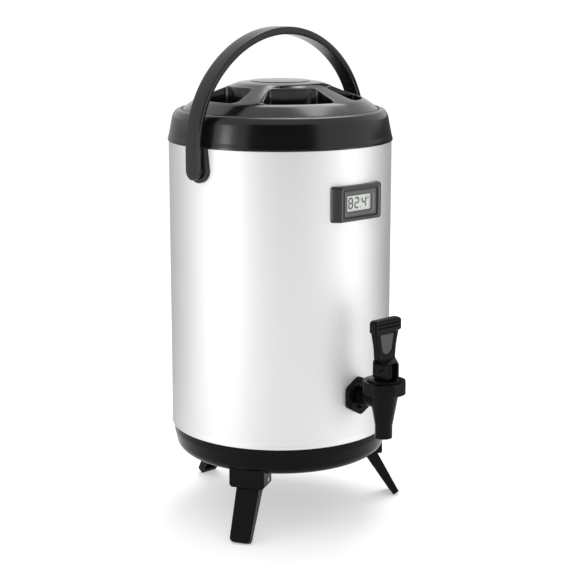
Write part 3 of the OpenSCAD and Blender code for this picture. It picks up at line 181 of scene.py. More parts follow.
def surface_mesh(name, *grids):
    """A piece from grids of points (rows, columns, 3) in millimetres.

    Four neighbours make a face. Points that meet are welded, so seams and poles close. The sum of each face's signed
    volume from the origin tells whether the faces look outwards, and turns them if they don't.
    """
    quads, start = [], 0
    for grid in grids:
        index = start + np.arange(grid.shape[0] * grid.shape[1]).reshape(grid.shape[:2])
        quads.append(np.stack([index[:-1, :-1], index[1:, :-1], index[1:, 1:], index[:-1, 1:]], -1).reshape(-1, 4))
        start += index.size
    points = np.concatenate([grid.reshape(-1, 3) for grid in grids])
    first, label = np.unique(np.floor(points * 1000 + 0.37), axis=0, return_index=True, return_inverse=True)[1:]
    quads = label.reshape(-1)[np.concatenate(quads)]
    keep = quads != np.roll(quads, -1, 1)
    real = keep.sum(1) > 2
    quads, keep = quads[real], keep[real]
    loops, counts = quads[keep], keep.sum(1)
    starts = np.cumsum(counts) - counts
    points = points[first] * 0.001
    mesh = bpy.data.meshes.new(name)
    mesh.vertices.add(len(points))
    mesh.vertices.foreach_set("co", points.astype(np.float32).ravel())
    mesh.loops.add(len(loops))
    mesh.loops.foreach_set("vertex_index", loops.astype(np.int32))
    mesh.polygons.add(len(counts))
    mesh.polygons.foreach_set("loop_start", starts.astype(np.int32))
    mesh.update(calc_edges=True)
    mesh.validate()
    corner = np.arange(len(loops))
    face = np.repeat(np.arange(len(counts)), counts)
    following = np.where(corner + 1 < (starts + counts)[face], corner + 1, starts[face])
    volume = points[loops[starts[face]]] * np.cross(points[loops], points[loops[following]])
    if volume.sum() < 0:
        mesh.flip_normals()
    mesh.polygons.foreach_set("use_smooth", np.ones(len(mesh.polygons), bool))
    mesh.set_sharp_from_angle(angle=np.radians(38))
    piece = bpy.data.objects.new(name, mesh)
    scene.collection.objects.link(piece)
    return piece


def fit(piece, material, slot, body, *nodes):
    """Gives a piece its material and its body, and lets it stand for CAD nodes. slot is not used."""
    piece.data.materials.append(material)
    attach(piece, body)
    if nodes:
        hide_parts(*nodes)


def turned_about(grid, degrees):
    """A grid turned about the drum's axis: x' = x cos(a) - y sin(a), y' = x sin(a) + y cos(a)."""
    a = np.radians(degrees)
    x, y, z = np.moveaxis(grid, -1, 0)
    return np.stack([x * np.cos(a) - y * np.sin(a), x * np.sin(a) + y * np.cos(a), z], -1)


satin_black = finish(
    "satin_black", (0.003, 0.003, 0.0033), 0.22, specular=0.42, grain=2200, lift=0.06, spread=0.12
)
collar_z, collar_top, collar_turn = 428.1, 462.4, 5.6
seat_z, seat_under, roof_under, hem_z, drum_r = 452.6, 450.0, 459.8, 432.1, 125.2
ring = turned(
    rounded(
        [
            (126.3, collar_z), (125.9, collar_z + 2.4), (124.7, collar_z + 7), (120.6, collar_top - 6.5),
            (116.2, collar_top), (112.9, collar_top),
            (112.4, collar_top + 0.6), (110.6, collar_top + 0.6), (110.6, seat_z), (104.05, seat_z),
            (104.05, 438.6), (106.65, 438.6), (106.65, seat_under), (113.2, seat_under), (113.2, roof_under),
            (117.4, roof_under), (122.6, hem_z), (drum_r, hem_z), (drum_r, collar_z),
        ],
        [0.4, 2.4, 8, 9, 5.8, 0.2, 0.5, 0.6, 0, 1.2, 0, 0, 0, 0, 0, 5, 0, 0, 0],
    ),
    np.linspace(0, 2 * np.pi, 181),
)
collar = surface_mesh("collar", ring)
fit(collar, satin_black, "satin_black", "drum", "top_collar")

# An ear is a shield with a round foot, bent round the drum: a point (y, z) of its outline lies at
# x = sqrt(reach^2 - y^2). Rows run from its back over a quarter-round edge to the upright line in its middle.
pivot_z, ear_r, ear_edge, ear_wide, ear_neck, ear_rise = 404.9, 128.5, 1.4, 14.0, 11.0, 25.2
bend = np.linspace(0, np.pi / 2, 6)
inset = np.concatenate([[0, 0], ear_edge - ear_edge * np.cos(bend)])[:, None]
reach = np.concatenate([[drum_r, ear_r], ear_r + ear_edge * np.sin(bend)])[:, None]
sweep = np.linspace(0, np.pi, 25)
rise = np.linspace(0, 1, 9)[1:]
ear_half, neck_half, ear_top = ear_wide - inset, ear_neck - inset, ear_rise - inset
ear_y = np.concatenate([
    ear_half * np.cos(sweep), -ear_half + (ear_half - neck_half) * rise, neck_half * np.linspace(-1, 1, 9)[1:],
    neck_half + (ear_half - neck_half) * rise,
], 1)
ear_z = np.concatenate([
    -ear_half * np.sin(sweep), ear_top * rise, ear_top + 0 * rise, ear_top * (1 - rise),
], 1)
ear_x = np.sqrt(reach ** 2 - ear_y ** 2)
spine_z = np.clip(ear_z[:1], 0, ear_rise - ear_edge)
spines = [np.stack([r + 0 * spine_z, 0 * spine_z, spine_z], -1) for r in (drum_r, ear_r + ear_edge)]
ear = np.concatenate([spines[0], np.stack([ear_x, ear_y, ear_z], -1), spines[1]])

# A boss is a ring turned about the stud's line, which runs outwards along x. It goes round the way that faces it out.
boss_bore, boss_r, boss_face = 4.1, 8.5, 131.6
boss_outline = rounded(
    [(boss_bore, ear_r), (boss_r, ear_r), (boss_r, boss_face), (boss_bore, boss_face)], [0, 0, 0.6, 0.3]
)
around = np.linspace(2 * np.pi, 0, 49)
boss = np.stack([
    boss_outline[:, 1, None] + 0 * around, boss_outline[:, :1] * np.cos(around), boss_outline[:, :1] * np.sin(around),
], -1)
hangers = [turned_about(part + (0, 0, pivot_z), collar_turn + side) for part in (ear, boss) for side in (0, 180)]
ears = surface_mesh("collar_ears", *hangers)
fit(ears, satin_black, "satin_black", "drum")
dress(satin_black, "handle_stud_left", "handle_stud_right")

# Handle: one moulded black band bent into a three-centred arch, thicker over the grip, with rounded edges
# and round ends that turn on the two studs. A rounded rectangle is carried along the arch, square to it.

arm_x, arch_x, arch_r, spring_z, crown_r, crown_z = 138.0, 20.0, 118.0, 426.3, 145.556, 407.33
handle_top, end_r, arm_thick, grip_extra, band_edge = 552.9, 10.0, 6.0, 2.6, 1.6
open_angle = np.arctan2(arch_x, 18.956)
heel = np.linspace(np.pi / 2, 0, 12)
arm_z = np.concatenate([pivot_z - end_r * np.sin(heel), np.linspace(pivot_z, spring_z, 6)[1:-1]])
side_turn = np.linspace(0, np.pi / 2 - open_angle, 24)
crown_turn = np.linspace(open_angle, -open_angle, 65)[1:-1]
half_x = np.concatenate([arm_x + 0 * arm_z, arch_x + arch_r * np.cos(side_turn)])
half_z = np.concatenate([arm_z, spring_z + arch_r * np.sin(side_turn)])
half_in = np.concatenate([0 * arm_z, side_turn])
path_x = np.concatenate([half_x, crown_r * np.sin(crown_turn), -half_x[::-1]])[:, None]
path_z = np.concatenate([half_z, crown_z + crown_r * np.cos(crown_turn), half_z[::-1]])[:, None]
lean = np.concatenate([half_in, np.pi / 2 - crown_turn, np.pi - half_in[::-1]])[:, None]
half_w = end_r * np.concatenate([np.cos(heel), np.ones(len(path_x) - 2 * len(heel)), np.cos(heel[::-1])])[:, None]
grip = np.clip((path_z - spring_z) / (handle_top - spring_z), 0, 1)
thick = arm_thick + grip_extra * grip ** 2
edge_r = np.minimum(band_edge, half_w)
corner_turn = np.linspace(0, np.pi / 2, 6)
quarter = np.concatenate([corner_turn + q * np.pi / 2 for q in range(4)] + [[2 * np.pi]])
across = np.append(np.repeat([1, -1, -1, 1], 6), 1)
deep = np.append(np.repeat([1, 1, -1, -1], 6), 1)
band_y = across * (half_w - edge_r) + edge_r * np.cos(quarter)
band_d = thick / 2 + deep * (thick / 2 - edge_r) + edge_r * np.sin(quarter)
band = np.stack([path_x - band_d * np.cos(lean), band_y, path_z - band_d * np.sin(lean)], -1)
handle = surface_mesh("carry_handle", turned_about(band, collar_turn))
fit(handle, satin_black, "satin_black", "handle", "handle")

# Lid: a glossy black moulding over a grey plug, with five finger pockets between ribs that run from the hub to the
# skirt. The plug, its foam and the rubber ring hang under it, and a round cap with a vent closes the hub.

lid_z, lid_mid, lid_turn, cap_seat_r, cap_seat_z = 458.9, 74.0, -27.1, 33.2, 491.4
hub_end, skirt_end = 51.0, 93.5
pocket_long, pocket_wide, pocket_corner, pocket_floor, rim_r, floor_r = 34.2, 17.0, 7.0, 461.5, 1.2, 3.0
corner_u, corner_v = pocket_long - pocket_corner, pocket_wide - pocket_corner
lid_black = finish("lid_black", (0.003, 0.003, 0.0033), 0.16, specular=0.46, grain=1500, lift=0.03, spread=0.1)
lid_outline = rounded(
    [(cap_seat_r, 493.1), (47.5, 491.5), (94.5, 473.3), (109.3, 462.9), (109.3, lid_z)],
    [0, 24, 26, 0.9, 0], 12, closed=False,
)


def lid_top(r):
    """Height of the lid's turned top at a radius, read from its outline."""
    return np.interp(r, lid_outline[:, 0], lid_outline[:, 1])


def pocket_loop(offset):
    """A pocket's outline grown by an offset, in (u, v): u runs round the lid at the middle radius, v outwards.

    A rectangle with round corners: four quarter arcs about its corner centres, joined by straight sides.
    """
    arc_r = pocket_corner + offset
    arc = np.linspace(0, np.pi / 2, 11)
    side, end = np.linspace(-1, 1, 14)[1:-1], np.linspace(-1, 1, 8)[1:-1]
    flat, wide = np.ones_like(side), np.ones_like(end)
    u = [
        corner_u + arc_r * np.cos(arc), -corner_u * side, -corner_u - arc_r * np.sin(arc), -(corner_u + arc_r) * wide,
        -corner_u - arc_r * np.cos(arc), corner_u * side, corner_u + arc_r * np.sin(arc), (corner_u + arc_r) * wide,
    ]
    v = [
        corner_v + arc_r * np.sin(arc), (corner_v + arc_r) * flat, corner_v + arc_r * np.cos(arc), -corner_v * end,
        -corner_v - arc_r * np.sin(arc), -(corner_v + arc_r) * flat, -corner_v - arc_r * np.cos(arc), corner_v * end,
    ]
    u, v = np.concatenate(u), np.concatenate(v)
    return np.append(u, u[0]), np.append(v, v[0])


# A fifth of the lid in rows: from its straight outer edge to the pocket's rim, over the rim's quarter round, down the
# wall, round the foot of the wall and to the middle of the floor. Each rim point has its partner on the outer edge.
pitch_u = np.radians(36) * lid_mid
low_v, high_v = hub_end - lid_mid, skirt_end - lid_mid
rim_u, rim_v = pocket_loop(rim_r)
on_side = np.maximum(np.abs(rim_u) - corner_u, 0) - np.maximum(np.abs(rim_v) - corner_v, 0) > -1e-6
arc_half = (pocket_corner + rim_r) * np.sin(np.pi / 4)
side_share = np.clip((np.abs(rim_v) - corner_v) / arc_half, 0, 1)
end_share = np.clip((np.abs(rim_u) - corner_u) / arc_half, 0, 1)
far_v = np.where(rim_v > 0, high_v, -low_v)
end_u = np.minimum(np.abs(rim_u), corner_u) + end_share * (pitch_u - corner_u)
side_v = np.minimum(np.abs(rim_v), corner_v) + side_share * (far_v - corner_v)
edge_u = np.sign(rim_u) * np.where(on_side, pitch_u, end_u)
edge_v = np.sign(rim_v) * np.where(on_side, side_v, far_v)
rows_u, rows_v, rows_z = [], [], []
for share in (1.0, 0.66, 0.33, 0.0):
    rows_u.append(rim_u + share * (edge_u - rim_u))
    rows_v.append(rim_v + share * (edge_v - rim_v))
    rows_z.append(lid_top(rows_v[-1] + lid_mid))
for roll in np.radians([15, 30, 45, 60, 75, 90]):
    u, v = pocket_loop(rim_r * (1 - np.sin(roll)))
    rows_u.append(u)
    rows_v.append(v)
    rows_z.append(lid_top(rim_v + lid_mid) - rim_r * (1 - np.cos(roll)))
wall_top = rows_z[-1]
for share in (0.33, 0.66):
    rows_u.append(rows_u[-1])
    rows_v.append(rows_v[-1])
    rows_z.append(wall_top + share * (pocket_floor + floor_r - wall_top))
for roll in np.radians([0, 18, 36, 54, 72, 90]):
    u, v = pocket_loop(-floor_r * (1 - np.cos(roll)))
    rows_u.append(u)
    rows_v.append(v)
    rows_z.append(pocket_floor + floor_r * (1 - np.sin(roll)) + 0 * u)
for share in (0.6, 0.3, 0.0):
    rows_u.append(share * u)
    rows_v.append(share * v)
    rows_z.append(pocket_floor + 0 * u)
pocket_a, pocket_r, pocket_z = np.stack(rows_u) / lid_mid, np.stack(rows_v) + lid_mid, np.stack(rows_z)
pitches = np.radians(lid_turn + 72 * np.arange(5))
sectors = [
    np.stack([pocket_r * np.sin(pocket_a + a), -pocket_r * np.cos(pocket_a + a), pocket_z], -1) for a in pitches
]
share_a = np.unique(np.round(edge_u[~on_side | (np.abs(np.abs(edge_v) - far_v) < 1e-9)] / lid_mid, 9))
lid_angles = np.unique(np.round((pitches[:, None] + share_a).ravel(), 7))
lid_angles = np.append(lid_angles, lid_angles[0] + 2 * np.pi)
hub_r = np.append(lid_outline[lid_outline[:, 0] < hub_end - 0.2, 0], hub_end)
hub = np.concatenate([
    [(0, cap_seat_z), (20, cap_seat_z), (cap_seat_r, cap_seat_z)], np.stack([hub_r, lid_top(hub_r)], 1)
])
skirt = np.concatenate([
    [(skirt_end, lid_top(skirt_end))], lid_outline[lid_outline[:, 0] > skirt_end + 0.2], [(60, lid_z), (0, lid_z)]
])
lid = surface_mesh("lid_top", *sectors, turned(hub, lid_angles), turned(skirt, lid_angles))
fit(lid, lid_black, "lid_black", "lid", "lid_cover")
dress(lid_black, "lid_cap")
dress(finish("plug_grey", (0.30, 0.30, 0.31), 0.5, grain=1500, lift=0.05), "lid_plug")
rubber = finish("rubber", (0.02, 0.02, 0.02), 0.7, specular=0.3, grain=1800, lift=0.15)
dress(rubber, "lid_gasket")

# Thermometer: a snap-in digital module in a moulded black frame that follows the drum. The module's case holds a
# clear lens over a pale display with dark segments, a circuit board, two button cells and a back cover.

thermo_z, front_y = 370.4, -129.5


def framed(half_w, half_h, corner_r, centre_x=0.0):
    """Closed rectangles with round corners in (x, z), one row for each entry of half_w, half_h and corner_r.

    Four quarter arcs stand about the corner centres, and seven points divide each straight side between them.
    """
    half_w, half_h, corner_r = [np.asarray(a, float)[:, None] for a in (half_w, half_h, corner_r)]
    arc = np.linspace(0, np.pi / 2, 7)
    sign_x, sign_z = [np.repeat(s, 7) for s in ([1, -1, -1, 1], [1, 1, -1, -1])]
    quarter = np.concatenate([arc + q * np.pi / 2 for q in range(4)])
    x = sign_x * (half_w - corner_r) + corner_r * np.cos(quarter)
    z = sign_z * (half_h - corner_r) + corner_r * np.sin(quarter)
    k = np.linspace(0, 1, 9)[1:-1]
    sides_x, sides_z = [], []
    for q in range(4):
        now, then = slice(7 * q, 7 * q + 7), (7 * q + 7) % 28
        sides_x += [x[:, now], x[:, 7 * q + 6, None] + k * (x[:, then] - x[:, 7 * q + 6])[:, None]]
        sides_z += [z[:, now], z[:, 7 * q + 6, None] + k * (z[:, then] - z[:, 7 * q + 6])[:, None]]
    x, z = np.concatenate(sides_x, 1), np.concatenate(sides_z, 1)
    return np.concatenate([x, x[:, :1]], 1) + np.asarray(centre_x)[..., None], np.concatenate([z, z[:, :1]], 1)


# The frame's rows run from the drum up its swelling flank, over a rounded edge, into the module's hole and back.
# Each row lies between the drum, y = -sqrt(r^2 - x^2), and the flat front, by its share.
swell = np.linspace(0, 1, 9)
flank_w = 29.6 + 6.4 * (0.5 * (1 - swell) + 0.5 * np.cos(swell * np.pi / 2))
flank_depth = 0.5 * swell + 0.5 * np.sin(swell * np.pi / 2)
roll = np.linspace(0, np.pi / 2, 6)[1:]
frame_w = np.concatenate([flank_w, 28.6 + np.cos(roll), [24.6, 24.2, 24.2, 23.0, 23.0, 24.6, 24.6, 36.0]])
frame_h = np.concatenate([
    19.4 - 0.5 * swell, 17.9 + np.cos(roll), [14.9, 14.5, 14.5, 13.3, 13.3, 14.9, 14.9, 19.4]
])
frame_corner = np.concatenate([3 + 0 * swell, 2.8 - 0 * roll, [1.2, 1.0, 1.0, 0.6, 0.6, 0.6, 0.6, 3]])
x, z = framed(frame_w, frame_h, frame_corner)
on_drum = -np.sqrt(drum_r ** 2 - x ** 2)
ahead = np.concatenate([flank_depth, 1 + 0 * roll, np.ones(6), [0, 0]])[:, None]
extra = np.concatenate([0 * swell, -np.sin(roll), [-1, -0.7, 1.5, 1.5, 11.5, 11.5, 0, 0]])[:, None]
y = on_drum + ahead * (front_y - on_drum) + extra
thermo_frame = surface_mesh("thermometer_surround", np.stack([x, y, z + thermo_z], -1))
# The frame is the same black plastic as the collar; its grey is a painted sheen that stands for the light on its
# flank.
frame_painted_sheen = finish("frame_painted_sheen", (0.015, 0.015, 0.0155), 0.3, specular=0.4, grain=2200, lift=0.08, spread=0.1)
fit(thermo_frame, frame_painted_sheen, "satin_black", "drum", "thermometer_frame")

# The case's rows run round its bezel, over the rim of the window, which sits a little to the left, and through it.
# The bezel is black plastic too; its lighter grey is a painted sheen that stands for the light on its face.
bezel_painted_sheen = finish("bezel_painted_sheen", (0.07, 0.07, 0.072), 0.3, specular=0.4, grain=2200, lift=0.08, spread=0.1)
bezel_w = [22.8, 24.0, 24.0, 23.8, 23.3, 18.9, 18.4, 18.0, 18.0, 21.4, 21.4, 22.8, 22.8]
bezel_h = [13.1, 14.3, 14.3, 14.1, 13.6, 9.4, 8.9, 8.5, 8.5, 11.7, 11.7, 13.1, 13.1]
bezel_y = [-128, -128, -129, -129.4, -129.6, -129.6, -129.4, -128.6, -128, -128, -113.5, -113.5, -128]
bezel_corner = [0.6, 1, 1, 1, 0.9, 1.6, 1.3, 1, 1, 0.6, 0.6, 0.6, 0.6]
window_shift = np.array([0, 0, 0, 0, 0, -1.6, -1.6, -1.6, -1.6, 0, 0, 0, 0])
x, z = framed(bezel_w, bezel_h, bezel_corner, window_shift)
case = surface_mesh("thermometer_bezel", np.stack([x, np.array(bezel_y)[:, None] + 0 * x, z + thermo_z], -1))
fit(case, bezel_painted_sheen, "satin_black", "drum", "thermometer_case")


def bars(starts, ends, half, low_y, high_y):
    """Flat six-sided bars between points in (x, z), pointed at both ends, as thin closed prisms: one grid each."""
    starts, ends = np.asarray(starts, float), np.asarray(ends, float)
    along = (ends - starts) / np.linalg.norm(ends - starts, axis=1, keepdims=True)
    beside = np.stack([-along[:, 1], along[:, 0]], 1) * half
    tip = along * half
    loop = np.stack([
        starts, starts + tip + beside, ends - tip + beside, ends, ends - tip - beside, starts + tip - beside, starts
    ], 1)
    core = np.repeat((starts + ends)[:, None] / 2, 7, 1)
    rows = np.stack([core, loop, loop, core], 1)
    y = np.array([low_y, low_y, high_y, high_y])[None, :, None] + 0 * rows[..., 0]
    return list(np.stack([rows[..., 0], y, rows[..., 1]], -1))


# The digits are seven-segment figures; strokes gives each segment's ends on a glyph one wide and two high.
glyph_w, glyph_h, stroke_gap, ink_front, ink_back = 5.4, 10.4, 0.12, -126.8, -126.5
strokes = np.array([
    [(0, 2), (1, 2)], [(1, 2), (1, 1)], [(1, 1), (1, 0)], [(0, 0), (1, 0)], [(0, 1), (0, 0)], [(0, 2), (0, 1)],
    [(0, 1), (1, 1)],
], float)
lit = {"8": [0, 1, 2, 3, 4, 5, 6], "2": [0, 1, 6, 4, 3], "4": [5, 6, 1, 2]}
scale = np.array([glyph_w, glyph_h / 2])
segments = np.concatenate([
    strokes[lit[digit]] * scale + np.array([left, thermo_z - glyph_h / 2])
    for digit, left in (("8", -15.2), ("2", -6.2), ("4", 4.4))
])
span = segments[:, 1] - segments[:, 0]
gap = stroke_gap * span / np.linalg.norm(span, axis=1, keepdims=True)
dot = np.array([[(1.3, thermo_z - 5.0), (2.9, thermo_z - 5.0)]])
ring_turn = np.linspace(0, 2 * np.pi, 9)
mark = np.stack([12.6 + 1.3 * np.cos(ring_turn), thermo_z + 4.4 + 1.3 * np.sin(ring_turn)], 1)
mark = np.stack([0.98 * mark[:-1] + 0.02 * mark[1:], 0.02 * mark[:-1] + 0.98 * mark[1:]], 1)
segment_black = finish("segment_black", (0.012, 0.013, 0.014), 0.5, specular=0.2, grain=3000, spread=0.1)
digits = surface_mesh(
    "display_digits",
    *bars(segments[:, 0] + gap, segments[:, 1] - gap, 0.85, ink_front, ink_back),
    *bars(dot[:, 0], dot[:, 1], 0.75, ink_front, ink_back),
    *bars(mark[:, 0], mark[:, 1], 0.28, ink_front, ink_back),
)
fit(digits, segment_black, "satin_black", "drum")

# The lens is a clear plate over the digits: two rectangles with round corners, each drawn in to its middle.
lens_clear, add, link = blank_material("lens_clear")
clear = add("ShaderNodeBsdfTransparent")
clear.inputs["Color"].default_value = (0.97, 0.98, 0.975, 1)
shine = add("ShaderNodeBsdfGlossy")
shine.inputs["Color"].default_value = (1, 1, 1, 1)
shine.inputs["Roughness"].default_value = 0.04
facing = add("ShaderNodeFresnel")
facing.inputs["IOR"].default_value = 1.3
blend = add("ShaderNodeMixShader")
link(facing.outputs["Fac"], blend.inputs["Fac"])
link(clear.outputs["BSDF"], blend.inputs[1])
link(shine.outputs["BSDF"], blend.inputs[2])
link(blend.outputs["Shader"], add("ShaderNodeOutputMaterial").inputs["Surface"])
lens_front, lens_back = -127.85, -127.2
x, z = framed([0, 21.1, 21.1, 0], [0, 11.4, 11.4, 0], [0, 0.8, 0.8, 0])
pane = np.stack([x, np.repeat([lens_front, lens_back], 2)[:, None] + 0 * x, z + thermo_z], -1)
window = surface_mesh("thermometer_window", pane)
fit(window, lens_clear, "lens_clear", "drum", "thermometer_lens")
dress(finish("display_grey", (0.84, 0.86, 0.82), 0.45, grain=900, spread=0.04), "display_panel")
dress(finish("board_green", (0.05, 0.25, 0.12), 0.5, grain=900), "circuit_board")
cell_steel = finish("cell_steel", (0.7, 0.7, 0.7), 0.3, metallic=1.0, grain=900)
dress(cell_steel, "button_cells", "temperature_probe")
dress(satin_black, "thermometer_back")
dress(finish("lead_black", (0.02, 0.02, 0.02), 0.6, grain=1500), "probe_lead")

# Tap: a black moulded body with a cone and a straight nozzle, clamped through the wall by a six-sided nut on rubber
# washers. An eight-sided bonnet holds the stem, whose rubber cup shuts the seat under a coiled steel spring.

tap_y, shank_z = -167.4, 157.4


def faceted(sides, across, levels, limits, bore, cup, depth, angles):
    """A nut's side: at each level the radius is that of a prism with soft corners, cut back by a turned bevel.

    The prism's radius is flat / cos(a) within each facet, softened near its corners; limits is the bevel's radius.
    The front is hollow inside the radius of the cup, down to its depth, and rows close through the bore.
    """
    facet, corner_cut = np.pi / sides, 0.7
    within = (angles + facet) % (2 * facet) - facet
    soft = np.minimum(across / 2 * np.cos(facet) / np.cos(within), across / 2 - corner_cut)
    r = np.minimum(soft, np.asarray(limits)[:, None])
    inner = np.array([cup + 0.5, cup, cup - 0.2, bore, bore])[:, None] + 0 * angles
    r = np.concatenate([inner[-1:], r, inner])
    hollow = levels[-1] - np.array([0, 0.5, depth, depth, levels[-1] - levels[0]])
    along = np.concatenate([levels[:1], levels, hollow])[:, None] + 0 * r
    return r * np.sin(angles), r * np.cos(angles), along


bevel = np.linspace(0, np.pi / 2, 6)
nut_y, bonnet_z = -127.1, 168.9
nut_levels = np.concatenate([[0, 0.4], 4.2 + 1.8 * np.sin(bevel)])
nut_limits = np.concatenate([[20.6, 21.5], 19.6 + 1.9 * np.cos(bevel)])
z, x, along = faceted(6, 43, nut_levels, nut_limits, 8.3, 13.2, 4, np.linspace(0, 2 * np.pi, 121))
nut = surface_mesh("tap_wall_nut", np.stack([x, nut_y - along, z + shank_z], -1))
fit(nut, deep_black, "satin_black", "drum", "tap_nut")
bonnet_levels = np.concatenate([[0, 0.6], 11.5 + 2 * np.sin(bevel), [13.5, 15.1, 15.4]])
bonnet_limits = np.concatenate([[23.3, 24.7], 21.9 + 2.8 * np.cos(bevel), [18.5, 18.5, 18.1]])
bonnet_angles = np.linspace(0, 2 * np.pi, 161) + np.pi / 8
x, y, along = faceted(8, 49.4, bonnet_levels, bonnet_limits, 4.1, 5, 0.6, bonnet_angles)
bonnet = surface_mesh("tap_collar_nut", np.stack([x, y + tap_y, along + bonnet_z], -1))
fit(bonnet, deep_black, "satin_black", "drum", "tap_bonnet")
dress(deep_black, "tap_body", "tap_inner_nut")
dress(rubber, "tap_washer", "tap_inner_washer", "valve_cup")
dress(finish("stem_plastic", (0.25, 0.25, 0.26), 0.45, grain=1500), "valve_stem")
dress(pin_steel, "lever_pin")

# The spring is a circle of wire carried up a helix of six turns, closed to a point at both ends.
spring_low, spring_high, spring_r, wire, coil_end = 148.44, 178.79, 7.0, 0.6, 12 * np.pi
coil = np.concatenate([[0], np.linspace(0, coil_end, 217), [coil_end]])[:, None]
wire_r = np.concatenate([[0], np.full(217, wire), [0]])[:, None]
around = np.linspace(0, 2 * np.pi, 13)
coil_r = spring_r + wire_r * np.cos(around)
coil_z = spring_low + (spring_high - spring_low) * coil / coil_end + wire_r * np.sin(around)
spring = surface_mesh("return_spring", np.stack([coil_r * np.cos(coil), coil_r * np.sin(coil) + tap_y, coil_z], -1))
fit(spring, pin_steel, "pin_steel", "drum", "valve_spring")
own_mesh(spring)

# Lever: one black moulding on the stem's pin. Its slotted foot rolls on the bonnet, and its waisted paddle has a bare
# grey shield, set in a sunk panel with a raised border, under a ridged bar for the thumb.

lever_z, bar_top, foot_z, knee_z, waist_z, bar_z = 198.9, 51.6, -14.2, 3.5, 8.0, 38.6
front_line = rounded(
    [
        (0, foot_z), (7.5, foot_z), (7.5, knee_z), (12.6, waist_z), (13.9, 22), (17.4, 36.6), (20.2, bar_z),
        (20.2, bar_top), (0, bar_top),
    ],
    [0, 0.8, 2.5, 3, 90, 1.5, 1.2, 4.2, 0], 8, closed=False,
)
back_line = rounded(
    [(0, foot_z), (11.2, foot_z), (11.2, knee_z), (4.35, waist_z), (4.35, bar_top), (0, bar_top)],
    [0, 2.5, 2.5, 2.5, 2.6, 0], 8, closed=False,
)
nose_line = rounded(
    [
        (0, foot_z), (15.3, foot_z), (15.3, knee_z), (4.35, waist_z), (4.35, 36.8), (6.1, bar_z), (6.1, bar_top),
        (0, bar_top),
    ],
    [0, 5, 2.5, 2.5, 0.8, 0.8, 2.6, 0], 8, closed=False,
)

# Each level is one ring: the front's left edge, the left front, the slot's three walls, the right front, and then the
# right side, the back and the left side, with quarter-round edges. The slot ends in a round roof over the stem.
roof, slot_half = 4.4, 4.3
level = np.concatenate([
    [foot_z], np.linspace(-14.1, -9, 14), np.linspace(-8.4, roof, 22), np.linspace(roof, waist_z, 8),
    np.linspace(8.6, 36.6, 58), np.linspace(36.9, 51.1, 60), [51.3, 51.45, 51.56, bar_top],
])[:, None]
half_w = np.interp(level, front_line[:, 1], front_line[:, 0])
back = np.interp(level, back_line[:, 1], back_line[:, 0])
nose = -np.interp(level, nose_line[:, 1], nose_line[:, 0])
soft = np.minimum(np.minimum(1.8 + 0.8 * (level > 38), half_w * 0.45), (back - nose) * 0.3)
slot_end = nose.copy()
slot_rows = 1 + 14 + 22
slot_end[:slot_rows] = np.sqrt(np.maximum(roof ** 2 - np.maximum(level[:slot_rows], 0) ** 2, 0))
arc, down = np.linspace(0, np.pi / 2, 6), np.linspace(0, 1, 26)[None, 1:-1]
over, run = np.linspace(0, 1, 13)[None, 1:], np.linspace(0, 1, 14)[None]
slot_w = slot_half * np.clip((bar_top - level) / 0.6, 0, 1)
front_left = -half_w + soft + over * (half_w - soft - slot_w)
side_y = nose + soft + down * (back - nose - 2 * soft)
slot_y = nose + down * (slot_end - nose)
from_slot = slot_w * (2 * run - 1)
boss = np.clip((7.5 - np.hypot(side_y, level - 2.25)) / 0.7, 0, 1) * (level < 2.25)
boss = 1.2 * boss ** 2 * (3 - 2 * boss)
lever_x = np.concatenate([
    -half_w + soft * (1 - np.cos(arc)), front_left, 0 * down - slot_w, from_slot, 0 * down + slot_w,
    -front_left[:, ::-1], half_w - soft * (1 - np.sin(arc)), half_w + 0 * down, half_w - soft * (1 - np.cos(arc)),
    (half_w - soft) * (1 - 2 * run[:, 1:-1]), -half_w + soft * (1 - np.sin(arc)), -half_w - boss[:, ::-1],
    -half_w,
], 1)
lever_y = np.concatenate([
    nose + soft * (1 - np.sin(arc)), nose + 0 * over, slot_y, slot_end + 0 * run, slot_y[:, ::-1],
    nose + 0 * over, nose + soft * (1 - np.cos(arc)), side_y, back - soft * (1 - np.sin(arc)),
    back + 0 * run[:, 1:-1], back - soft * (1 - np.cos(arc)), side_y[:, ::-1], nose + soft,
], 1)

# Relief on the front: the sunk panel, its raised border and two grooves across the bar, each a smooth step of the
# distance from its line.
panel_levels, panel_halves, panel_round_z, panel_round = [12, 36], [6.8, 11.0], 19, 7
shield_half = np.interp(level, panel_levels, panel_halves)
foot_round = np.maximum((panel_round_z - level) / panel_round, 0)
inside = np.minimum(shield_half * (1 - np.hypot(lever_x / shield_half, foot_round)), 35.6 - level)
sunk, border = np.clip(inside / 0.8, 0, 1), np.clip(1 - np.abs(inside + 0.7) / 0.7, 0, 1)
groove = np.clip(1 - np.abs(level - 43.1) / 1.1, 0, 1) + np.clip(1 - np.abs(level - 46.9) / 1.1, 0, 1)
groove = np.sin(groove * np.pi / 2) ** 2 * np.clip((half_w - 3.2 - np.abs(lever_x)) / 1.2, 0, 1)
relief = 1.1 * sunk ** 2 * (3 - 2 * sunk) - 0.4 * border ** 2 * (3 - 2 * border) + 1.2 * groove
lever_y = lever_y + np.where(lever_y < nose + 1e-6, relief, 0)
lever_rows = np.stack([lever_x, lever_y, level + 0 * lever_x], -1)

